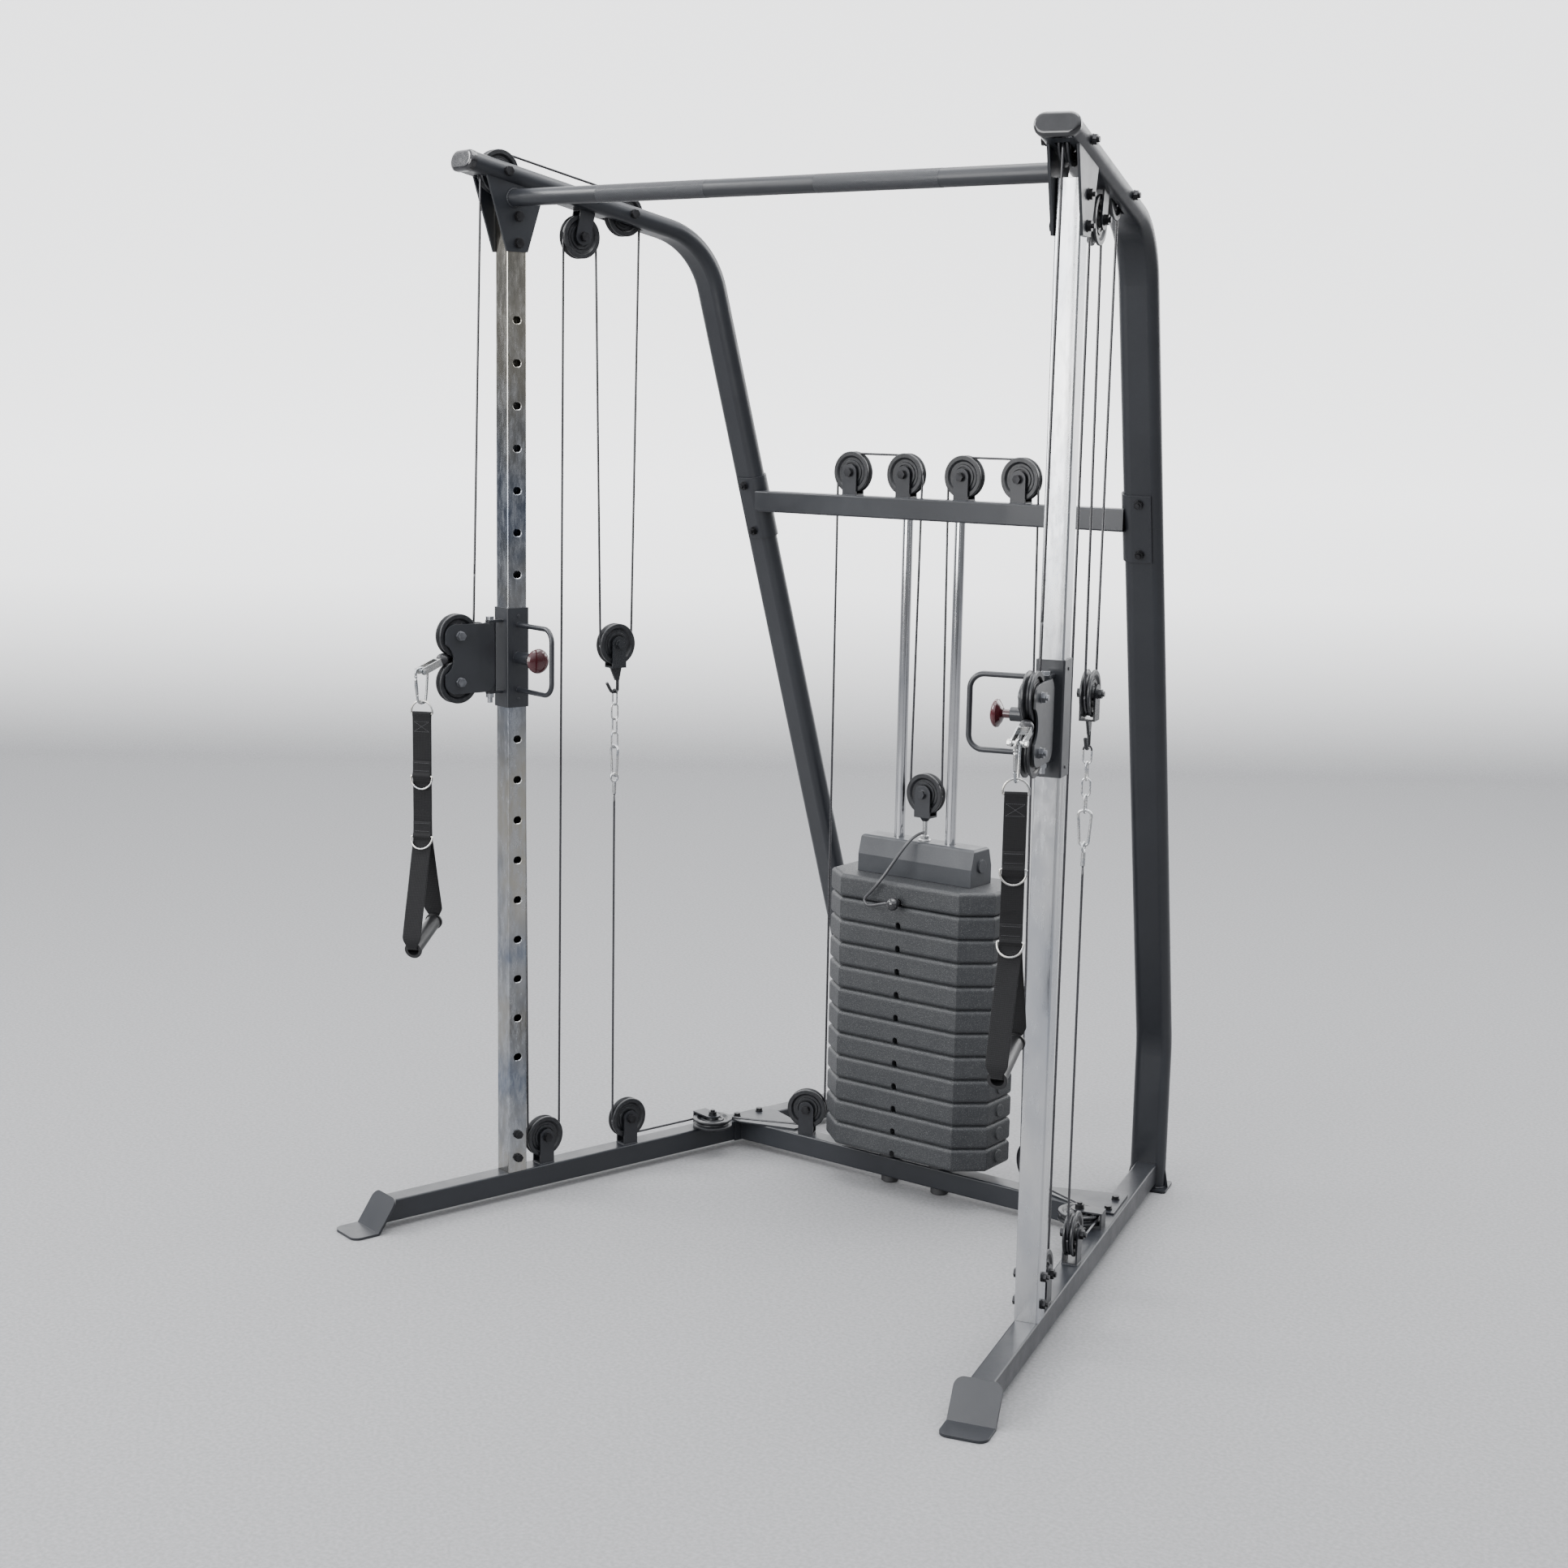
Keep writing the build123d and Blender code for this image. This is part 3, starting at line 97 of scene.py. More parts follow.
# ---- node graphs ----------------------------------------------------------------------------
class Graph:
    """Short hand for building a material's nodes in object space."""

    def __init__(self, name):
        self.material = bpy.data.materials.new(name)
        self.material.use_nodes = True
        self.nodes = self.material.node_tree.nodes
        self.links = self.material.node_tree.links
        self.shader = self.nodes["Principled BSDF"]
        self.place = self.nodes.new("ShaderNodeTexCoord").outputs["Object"]

    def add(self, kind, **values):
        node = self.nodes.new("ShaderNode" + kind)
        for key, value in values.items():
            if key in node.bl_rna.properties:
                setattr(node, key, value)
            else:
                numbered = key[0] == "i" and key[1:].isdigit()
                socket = node.inputs[int(key[1:])] if numbered else node.inputs[key]
                self.put(socket, value)
        return node

    def put(self, socket, value):
        if isinstance(value, bpy.types.NodeSocket):
            self.links.new(value, socket)
        else:
            socket.default_value = value

    def math(self, operation, a, b=0.0, clamp=False):
        return self.add("Math", operation=operation, use_clamp=clamp, i0=a, i1=b).outputs[0]

    def noise(self, scale, detail=3.0, rough=0.55, place=None):
        where = place or self.place
        return self.add("TexNoise", Vector=where, Scale=scale, Detail=detail, Roughness=rough).outputs[0]

    def ramp(self, value, low, high, to_low=0.0, to_high=1.0):
        node = self.add("MapRange", i0=value, i1=low, i2=high, i3=to_low, i4=to_high)
        return node.outputs[0]

    def mix(self, factor, a, b):
        node = self.add("Mix", data_type="RGBA")
        for index, value in ((0, factor), (6, a), (7, b)):
            self.put(node.inputs[index], value)
        return node.outputs[2]

    def split(self, place=None):
        return self.add("SeparateXYZ", i0=place or self.place).outputs

    def bump(self, height, distance, strength=1.0, normal=None):
        node = self.add("Bump", Height=height, Distance=distance, Strength=strength)
        if normal:
            self.put(node.inputs["Normal"], normal)
        return node.outputs[0]

    def edges(self, radius, samples=4):
        return self.add("Bevel", samples=samples, Radius=radius).outputs[0]

    def stretched(self, x, y, z):
        return self.add("Mapping", Vector=self.place, Scale=(x, y, z)).outputs[0]

    def finish(self, color, rough, metal=0.0, normal=None, coat=0.0, sheen=0.0, specular=0.5):
        for name, value in (("Base Color", color), ("Roughness", rough), ("Metallic", metal),
                            ("Coat Weight", coat), ("Sheen Weight", sheen), ("Specular IOR Level", specular)):
            self.put(self.shader.inputs[name], value)
        if normal:
            self.put(self.shader.inputs["Normal"], normal)
        return self.material


def rgb(r, g, b):
    return (r, g, b, 1.0)


def near(graph, centre, radius, soft=0.0006):
    """1 within radius of a point, on either side of the machine."""
    x, y, z = graph.split()
    where = graph.add("CombineXYZ", i0=graph.math("ABSOLUTE", x), i1=y, i2=z).outputs[0]
    gap = graph.add("VectorMath", operation="DISTANCE", i0=where, i1=tuple(centre)).outputs["Value"]
    return graph.ramp(gap, radius + soft, radius - soft)


def coating(name, base, lift, rough, grain=1.0, wear=0.0):
    """Satin powder coat: orange peel, faint dust mottling and softened edges."""
    g = Graph(name)
    mottled = g.mix(g.ramp(g.noise(3.0, 4.0), 0.35, 0.7), rgb(*base), rgb(*lift))
    fine = g.mix(g.ramp(g.noise(900.0, 2.0), 0.62, 0.78, 0.0, 0.35), mottled, rgb(*[v * 2.4 for v in lift]))
    peel = g.bump(g.noise(420.0 * grain, 2.0), 0.00025, 0.35, g.edges(0.0009))
    streak = g.ramp(g.noise(14.0, 6.0, 0.7), 0.3, 0.75, rough - 0.07, rough + 0.09)
    return g.finish(fine, streak, 0.0, peel, coat=0.06, specular=0.42)


POWDER = coating("powder_coat", (0.0095, 0.0105, 0.0135), (0.015, 0.0168, 0.0205), 0.36)
BRACKET = coating("powder_coat_small", (0.009, 0.0095, 0.012), (0.014, 0.015, 0.018), 0.34, 1.6)


def black_oxide():
    g = Graph("black_oxide")
    color = g.mix(g.ramp(g.noise(60.0, 5.0), 0.3, 0.75), rgb(0.010, 0.010, 0.011), rgb(0.035, 0.035, 0.038))
    rough = g.ramp(g.noise(180.0, 4.0), 0.3, 0.7, 0.30, 0.46)
    return g.finish(color, rough, 0.75, g.bump(g.noise(700.0), 0.0001, 0.3, g.edges(0.0004)))


OXIDE = black_oxide()


def zinc(name="zinc", warm=0.0):
    g = Graph(name)
    cloud = g.ramp(g.noise(38.0, 5.0, 0.65), 0.3, 0.72)
    color = g.mix(cloud, rgb(0.30, 0.32, 0.35), rgb(0.50 + warm, 0.49 + warm * 0.6, 0.46))
    rough = g.ramp(g.noise(240.0, 4.0), 0.25, 0.75, 0.16, 0.34)
    return g.finish(color, rough, 1.0, g.bump(g.noise(520.0, 3.0), 0.00008, 0.35, g.edges(0.0003)))


ZINC = zinc()
NICKEL = zinc("warm_nickel", 0.06)


def plated_tube():
    """Bright plating: drawn streaks and clouds, with blue, straw and violet tints on the left tube."""
    g = Graph("bright_plating")
    x, _, z = g.split()
    left = g.math("LESS_THAN", x, 0.0)
    cloud = g.noise(5.0, 5.0, 0.6, g.stretched(1.0, 1.0, 0.45))
    plain = g.mix(g.ramp(cloud, 0.35, 0.65), rgb(0.34, 0.36, 0.40), rgb(0.58, 0.58, 0.58))
    tint = g.mix(g.ramp(g.noise(3.2, 4.0), 0.40, 0.60), rgb(0.12, 0.15, 0.21), rgb(0.36, 0.34, 0.29))
    violet = g.ramp(g.noise(5.5, 2.0, 0.5, g.stretched(1.0, 1.0, 0.4)), 0.60, 0.72, 0.0, 0.5)
    tint = g.mix(violet, tint, rgb(0.20, 0.15, 0.22))
    blotch = g.ramp(g.noise(70.0, 4.0, 0.7, g.stretched(1.0, 1.0, 0.35)), 0.42, 0.62)
    tint = g.mix(g.math("MULTIPLY", blotch, 0.55), tint, rgb(0.46, 0.48, 0.51))
    high = g.ramp(z, 1.55, 1.95)
    tint = g.mix(g.math("MULTIPLY", high, 0.7), tint, rgb(0.46, 0.42, 0.33))
    color = g.mix(g.math("MULTIPLY", left, 0.85), plain, tint)
    streaks = g.noise(260.0, 3.0, 0.6, g.stretched(1.0, 1.0, 0.05))
    rough = g.math("ADD", g.ramp(streaks, 0.2, 0.8, 0.12, 0.22), g.ramp(blotch, 0.0, 1.0, 0.0, 0.10))
    return g.finish(color, rough, 1.0, g.bump(streaks, 0.00012, 0.25, g.edges(0.0012)))


def guide_chrome():
    g = Graph("guide_chrome")
    marks = g.noise(420.0, 2.0, 0.5, g.stretched(1.0, 1.0, 0.03))
    rough = g.ramp(marks, 0.3, 0.8, 0.05, 0.14)
    color = g.mix(g.ramp(g.noise(9.0), 0.3, 0.7), rgb(0.48, 0.49, 0.51), rgb(0.64, 0.64, 0.65))
    return g.finish(color, rough, 1.0, g.bump(marks, 0.00005, 0.2))


def rubber():
    g = Graph("black_rubber")
    color = g.mix(g.noise(30.0, 4.0), rgb(0.010, 0.010, 0.011), rgb(0.028, 0.028, 0.030))
    grain = g.bump(g.noise(500.0), 0.0002, 0.4, g.edges(0.001))
    return g.finish(color, g.ramp(g.noise(90.0), 0.2, 0.8, 0.55, 0.75), 0.0, grain)


def wheel_plastic():
    g = Graph("pulley_plastic")
    scuff = g.noise(160.0, 5.0, 0.7)
    color = g.mix(g.ramp(scuff, 0.45, 0.75), rgb(0.006, 0.0065, 0.008), rgb(0.020, 0.021, 0.024))
    rough = g.ramp(g.noise(55.0, 4.0), 0.3, 0.7, 0.26, 0.42)
    return g.finish(color, rough, 0.0, g.bump(scuff, 0.0001, 0.3, g.edges(0.0007)))


def speckled_plate():
    """Grained shell of the weight plates: pebbled surface with pale and dark flecks."""
    g = Graph("plate_shell")
    pebble = g.add("TexVoronoi", Vector=g.place, Scale=520.0).outputs["Distance"]
    fleck = g.noise(620.0, 2.0, 0.6)
    cloud = g.noise(9.0, 5.0, 0.6)
    body = g.mix(g.ramp(cloud, 0.3, 0.7), rgb(0.010, 0.0115, 0.014), rgb(0.020, 0.0215, 0.0235))
    pale = g.mix(g.ramp(fleck, 0.55, 0.68, 0.0, 0.8), body, rgb(0.085, 0.087, 0.088))
    color = g.mix(g.ramp(fleck, 0.44, 0.36, 0.0, 0.7), pale, rgb(0.012, 0.013, 0.015))
    height = g.math("ADD", g.math("MULTIPLY", pebble, 0.8), g.math("MULTIPLY", g.noise(260.0, 3.0), 0.9))
    rough = g.ramp(fleck, 0.3, 0.7, 0.58, 0.42)
    return g.finish(color, rough, 0.0, g.bump(height, 0.0007, 0.55, g.edges(0.003)))


def head_material():
    """Fine-grained moulding of the head block; the screw above it is bright and the bracket coated."""
    g = Graph("head_shell")
    z = g.split()[2]
    upper = g.ramp(z, HEAD_Z + HEAD_CLEAR - 0.0001, HEAD_Z + HEAD_CLEAR + 0.0001)
    shell = g.mix(g.ramp(g.noise(16.0, 4.0), 0.3, 0.7), rgb(0.016, 0.018, 0.022), rgb(0.026, 0.0285, 0.033))
    shell = g.mix(g.ramp(g.noise(700.0), 0.55, 0.75, 0.0, 0.4), shell, rgb(0.07, 0.073, 0.077))
    color = g.mix(upper, shell, rgb(0.010, 0.011, 0.014))
    screw = g.math("MULTIPLY", upper, g.math("LESS_THAN", z, STACK_Z - BRACKET_DROP))
    color = g.mix(screw, color, rgb(0.45, 0.45, 0.45))
    rough = g.ramp(g.noise(40.0, 4.0), 0.3, 0.7, 0.36, 0.48)
    rough = g.math("SUBTRACT", rough, g.math("MULTIPLY", screw, 0.14))
    return g.finish(color, rough, screw, g.bump(g.noise(480.0), 0.00025, 0.35, g.edges(0.002)), coat=0.08)


def gloss(name, low, high, rough=0.12):
    g = Graph(name)
    color = g.mix(g.ramp(g.noise(25.0, 4.0), 0.3, 0.75), rgb(*low), rgb(*high))
    return g.finish(color, g.ramp(g.noise(120.0, 5.0), 0.35, 0.8, rough, rough + 0.14), 0.0,
                    g.bump(g.noise(90.0, 2.0), 0.00015, 0.12), coat=0.5)


GLOSS = gloss("black_gloss", (0.006, 0.006, 0.007), (0.016, 0.016, 0.018))
MAROON = gloss("knob_maroon", (0.030, 0.0035, 0.0055), (0.060, 0.008, 0.012))
CORD = gloss("cord_cover", (0.010, 0.010, 0.012), (0.030, 0.030, 0.034), 0.42)
JACKET = gloss("cable_jacket", (0.008, 0.008, 0.010), (0.022, 0.022, 0.026), 0.24)


def carriage_material():
    """Coated sleeve with a zinc-plated hinge bolt."""
    g = Graph("carriage_coat")
    x, y, z = g.split()
    hinge = side_point("right", 0.051, 0, 0)
    ax = g.math("SUBTRACT", g.math("ABSOLUTE", x), hinge.x)
    ay = g.math("SUBTRACT", y, hinge.y)
    reach = g.math("SQRT", g.math("ADD", g.math("MULTIPLY", ax, ax), g.math("MULTIPLY", ay, ay)))
    bolt = g.math("LESS_THAN", reach, 0.0098)
    above = g.math("GREATER_THAN", z, CARRIAGE_Z + 0.0765)
    below = g.math("LESS_THAN", z, CARRIAGE_Z - 0.0715)
    plated = g.math("MULTIPLY", bolt, g.math("ADD", above, below))
    cloud = g.ramp(g.noise(5.0, 4.0), 0.35, 0.7)
    coat = g.mix(cloud, rgb(0.0095, 0.0105, 0.0135), rgb(0.015, 0.0168, 0.0205))
    color = g.mix(plated, coat, rgb(0.42, 0.43, 0.45))
    rough = g.ramp(g.noise(14.0, 6.0, 0.7), 0.3, 0.75, 0.30, 0.44)
    rough = g.math("SUBTRACT", rough, g.math("MULTIPLY", plated, 0.12))
    peel = g.bump(g.noise(420.0, 2.0), 0.00025, 0.35, g.edges(0.0009))
    return g.finish(color, rough, plated, peel, coat=0.1)


def swivel_material():
    """Coated plates and barrel; the bolt heads and nuts standing off the plates are duller steel."""
    g = Graph("swivel_coat")
    x, y, _ = g.split()
    outward = side_point("right", 0, 1, 0) - side_point("right", 0, 0, 0)
    across_x = g.math("MULTIPLY", g.math("SUBTRACT", g.math("ABSOLUTE", x), UPRIGHT[0]), outward.x)
    across_y = g.math("MULTIPLY", g.math("SUBTRACT", y, UPRIGHT[1]), outward.y)
    across = g.math("ADD", across_x, across_y)
    bolt = g.math("GREATER_THAN", g.math("ABSOLUTE", across), 0.0154)
    cloud = g.ramp(g.noise(5.0, 4.0), 0.35, 0.7)
    coat = g.mix(cloud, rgb(0.0095, 0.0105, 0.0130), rgb(0.015, 0.0165, 0.0195))
    steel = g.mix(g.ramp(g.noise(90.0, 4.0), 0.3, 0.7), rgb(0.10, 0.105, 0.115), rgb(0.20, 0.205, 0.22))
    rough = g.ramp(g.noise(14.0, 6.0, 0.7), 0.3, 0.75, 0.30, 0.44)
    peel = g.bump(g.noise(420.0, 2.0), 0.00025, 0.35, g.edges(0.0009))
    return g.finish(g.mix(bolt, coat, steel), rough, g.math("MULTIPLY", bolt, 0.9), peel, coat=0.12)


def clevis_material():
    """Zinc clevis with the black ball stop at its cable end."""
    g = Graph("ball_and_clevis")
    ball = near(g, side_point("right", BALL[0], 0, BALL[1]), 0.0130, 0.0002)
    metal = g.mix(g.ramp(g.noise(60.0, 5.0), 0.3, 0.7), rgb(0.34, 0.36, 0.38), rgb(0.56, 0.55, 0.52))
    color = g.mix(ball, metal, rgb(0.012, 0.012, 0.014))
    rough = g.math("ADD", g.ramp(g.noise(200.0, 4.0), 0.3, 0.7, 0.18, 0.32), g.math("MULTIPLY", ball, 0.12))
    grain = g.bump(g.noise(400.0), 0.0001, 0.3, g.edges(0.0005))
    return g.finish(color, rough, g.math("SUBTRACT", 1.0, ball), grain)


def float_material():
    """Black bracket and hook; zinc chain, snap hook and cable eye below them."""
    g = Graph("float_metal")
    low = g.ramp(g.split()[2], CHAIN_TOP + 0.0002, CHAIN_TOP - 0.0002)
    bright = g.mix(g.ramp(g.noise(70.0, 5.0), 0.3, 0.7), rgb(0.34, 0.36, 0.39), rgb(0.56, 0.55, 0.53))
    color = g.mix(low, rgb(0.010, 0.011, 0.013), bright)
    rough = g.ramp(g.noise(220.0, 4.0), 0.3, 0.7, 0.20, 0.36)
    return g.finish(color, rough, low, g.bump(g.noise(420.0), 0.0001, 0.3, g.edges(0.0005)))


def knurled_bar():
    """Coated bar with two bands of diamond knurling."""
    g = Graph("pull_up_bar")
    x, y, z = g.split()
    side = g.math("ABSOLUTE", x)
    band = g.math("MULTIPLY", g.math("GREATER_THAN", side, 0.123), g.math("LESS_THAN", side, 0.381))
    turn = g.math("ARCTAN2", g.math("SUBTRACT", z, BAR_Z), g.math("SUBTRACT", y, BAR_Y))
    around, along = g.math("MULTIPLY", turn, 34.0), g.math("MULTIPLY", side, 2060.0)
    one = g.math("SINE", g.math("ADD", around, along))
    two = g.math("SINE", g.math("SUBTRACT", around, along))
    diamonds = g.math("MULTIPLY", g.math("MAXIMUM", one, two), band)
    coat = g.mix(g.ramp(g.noise(6.0, 4.0), 0.35, 0.7), rgb(0.009, 0.010, 0.013), rgb(0.015, 0.0165, 0.020))
    color = g.mix(g.math("MULTIPLY", g.ramp(diamonds, 0.6, 1.0), 0.5), coat, rgb(0.075, 0.08, 0.09))
    peel = g.bump(g.noise(420.0, 2.0), 0.0002, 0.3)
    normal = g.bump(diamonds, 0.0006, 0.8, peel)
    return g.finish(color, g.ramp(g.noise(12.0, 5.0), 0.3, 0.7, 0.34, 0.46), 0.0, normal, coat=0.1)


def woven():
    """Nylon webbing: ribs across, a finer over-and-under along, from the strap's own length and width."""
    g = Graph("webbing")
    uv = g.add("UVMap").outputs[0]
    u, v, _ = g.split(uv)
    across, along = g.math("MULTIPLY", u, 2600.0), g.math("MULTIPLY", v, 1900.0)
    rib = g.math("SINE", g.math("ADD", along, g.math("MULTIPLY", g.math("SINE", across), 1.2)))
    cross = g.math("SINE", across)
    height = g.math("ADD", g.math("MULTIPLY", rib, 0.6), g.math("MULTIPLY", cross, 0.4))
    fuzz = g.noise(900.0, 3.0)
    color = g.mix(g.ramp(height, -0.6, 0.9), rgb(0.0025, 0.0025, 0.003), rgb(0.011, 0.011, 0.012))
    color = g.mix(g.ramp(fuzz, 0.6, 0.8, 0.0, 0.4), color, rgb(0.022, 0.022, 0.024))
    rough = g.ramp(fuzz, 0.2, 0.8, 0.72, 0.9)
    return g.finish(color, rough, 0.0, g.bump(height, 0.0005, 0.7), sheen=0.06, specular=0.25)


BAR_Y = sum(corner[1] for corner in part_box("pull_up_bar")) / 2
FOAM = coating("grip_tube", (0.006, 0.006, 0.0065), (0.011, 0.011, 0.012), 0.42, 0.6)
WEBBING = woven()
THREAD = gloss("thread", (0.020, 0.020, 0.022), (0.045, 0.045, 0.050), 0.5)
SPECIAL = {
    "uprights": plated_tube(),
    "guide_rods": guide_chrome(),
    "rubber_pads": rubber(),
    "arm_end_caps": GLOSS,
    "frame_bolts": OXIDE,
    "pulley_brackets": BRACKET,
    "pull_up_bar": knurled_bar(),
    "stack_head": head_material(),
    "selector_pin": GLOSS,
}
SPECIAL["lower_weight_plates"] = SPECIAL["top_weight_plate"] = speckled_plate()
WHEEL = wheel_plastic()
CARRIAGE, CLEVIS, FLOATS = carriage_material(), clevis_material(), float_material()
KINDS = (("carriage_upper", WHEEL), ("carriage_lower", WHEEL), ("carriage", CARRIAGE), ("pull_pin", MAROON),
         ("swivel", swivel_material()), ("cable_end", CLEVIS), ("grip", FOAM), ("float_", FLOATS))
for name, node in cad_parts.items():
    material = SPECIAL.get(name)
    if material is None:
        material = next((m for start, m in KINDS if name.startswith(start)), None)
    if material is None:
        material = WHEEL if "pulley" in name else POWDER
    if node.data.materials:
        for index in range(len(node.data.materials)):
            node.data.materials[index] = material
    else:
        node.data.materials.append(material)


# ---- mesh helpers ---------------------------------------------------------------------------
def new_object(name, verts, faces, material, smooth=True, uvs=None):
    mesh = bpy.data.meshes.new(name)
    mesh.from_pydata([tuple(v) for v in verts], [], faces)
    mesh.materials.append(material)
    if uvs:
        layer = mesh.uv_layers.new(name="UVMap")
        for loop in mesh.loops:
            layer.data[loop.index].uv = uvs[loop.vertex_index]
    mesh.polygons.foreach_set("use_smooth", [smooth] * len(mesh.polygons))
    mesh.update()
    obj = bpy.data.objects.new(name, mesh)
    bpy.context.scene.collection.objects.link(obj)
    return obj


def spaced(points, step):
    """Points no more than step apart on the same polyline."""
    out = [points[0]]
    for a, b in zip(points, points[1:]):
        count = max(1, math.ceil((b - a).length / step))
        out += [a.lerp(b, k / count) for k in range(1, count + 1)]
    return out


def tube_mesh(points, radius, sides=12, closed=False, start=0):
    """Rings of vertices carried along the points without twisting."""
    count = len(points)
    verts, faces = [], []
    last = None
    for k, point in enumerate(points):
        before = points[k - 1] if k or closed else points[0]
        after = points[(k + 1) % count] if k + 1 < count or closed else points[-1]
        heading = (after - before).normalized()
        if last is None:
            last = heading.orthogonal().normalized()
        last = (last - heading * last.dot(heading)).normalized()
        other = heading.cross(last)
        size = radius(k / max(1, count - 1)) if callable(radius) else radius
        for j in range(sides):
            turn = 2 * math.pi * j / sides
            verts.append(point + last * (size * math.cos(turn)) + other * (size * math.sin(turn)))
    for k in range(count if closed else count - 1):
        for j in range(sides):
            a, b = k * sides + j, k * sides + (j + 1) % sides
            c, d = ((k + 1) % count) * sides + j, ((k + 1) % count) * sides + (j + 1) % sides
            faces.append([start + v for v in (a, b, d, c)])
    if not closed:
        faces.append([start + j for j in range(sides)][::-1])
        faces.append([start + (count - 1) * sides + j for j in range(sides)])
    return verts, faces


def tube(name, points, radius, material, step=0.02, sides=12, closed=False):
    points = points if closed else spaced(points, step)
    return new_object(name, *tube_mesh(points, radius, sides, closed), material)


def arc(centre, axis_a, axis_b, radius, start, end, count=18):
    """Points on a circle whose plane holds the two axes."""
    return [centre + axis_a * (radius * math.cos(t)) + axis_b * (radius * math.sin(t))
            for t in (start + (end - start) * k / count for k in range(count + 1))]


def smoothed(points, rounds=3, closed=False):
    """Corner cutting, which turns a polyline into a soft curve."""
    for _ in range(rounds):
        out = []
        pairs = list(zip(points, points[1:] + points[:1])) if closed else list(zip(points, points[1:]))
        for a, b in pairs:
            out += [a.lerp(b, 0.25), a.lerp(b, 0.75)]
        points = out if closed else [points[0]] + out[1:-1] + [points[-1]]
    return points


# ---- cables ---------------------------------------------------------------------------------
def tangent(a, b):
    """Straight run between two circles given as (x, z, radius, turn)."""
    dx, dz = b[0] - a[0], b[1] - a[1]
    shift = (a[2] * a[3] - b[2] * b[3]) / math.hypot(dx, dz)
    heading = math.atan2(dz, dx) + math.asin(shift)
    out = (math.sin(heading), -math.cos(heading))
    return [(c[0] + out[0] * c[2] * c[3], c[1] + out[1] * c[2] * c[3]) for c in (a, b)]


def wrap(wheel, before, after, lift, count=16):
    """Points round a wheel from where the cable meets it to where it leaves."""
    start = math.atan2(before[1] - wheel[1], before[0] - wheel[0])
    end = math.atan2(after[1] - wheel[1], after[0] - wheel[0])
    total = (end - start) * wheel[3] % (2 * math.pi) * wheel[3]
    return [lift(wheel[0] + wheel[2] * math.cos(start + total * k / count),
                 wheel[1] + wheel[2] * math.sin(start + total * k / count)) for k in range(count + 1)]


def handle_cable(side):
    """The cable from the carriage's tab to the ball, as straight runs and as arcs that ride with their
    bodies.
    """
    def lift(s, z):
        return side_point(side, s, 0, z)

    circles = [(-0.030, CARRIAGE_Z - 0.0908, 0, 1), (RAIL[0], LOW_Z, ROUND, -1), (*HANG, ROUND, 1),
               (*FLOAT, ROUND, -1), (*REAR, ROUND, -1), (*TOP, ROUND, -1),
               (*CARRIAGE_WHEEL, ROUND, 1), (*BALL, 0, 1)]
    runs = [tangent(a, b) for a, b in zip(circles, circles[1:])]
    carriage, swivel, floating = f"carriage_{side}", f"swivel_{side}", f"float_{side}"
    owners = ["frame", "frame", floating, "frame", "frame", swivel]
    for k, owner in enumerate(owners):
        points = wrap(circles[k + 1], runs[k][1], runs[k + 1][0], lift)
        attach(tube(f"cable_turn_{side}_{k}", points, CABLE_R, JACKET, 0.01), owner)
    bodies = [(carriage, "frame"), ("frame", "frame"), ("frame", floating), (floating, "frame"),
              ("frame", "frame")]
    for k, (a, b) in enumerate(bodies):
        start, end = (lift(*p) for p in runs[k])
        run = tube(f"cable_run_{side}_{k}", [start, end], CABLE_R, JACKET)
        if a == b:
            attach(run, a)
        else:
            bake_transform(run)
    top, low = (lift(*p) for p in runs[5])
    joint = low.lerp(top, 0.12 / (top - low).length)
    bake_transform(tube(f"cable_front_{side}", [top, joint], CABLE_R, JACKET))
    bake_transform(tube(f"cable_lead_{side}", [joint, low], CABLE_R, JACKET, 0.006))
    start, end = (lift(*p) for p in runs[6])
    end = end + (start - end).normalized() * 0.0115
    run = tube(f"cable_nose_{side}", [start, end], CABLE_R, JACKET, 0.002)
    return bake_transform(run)


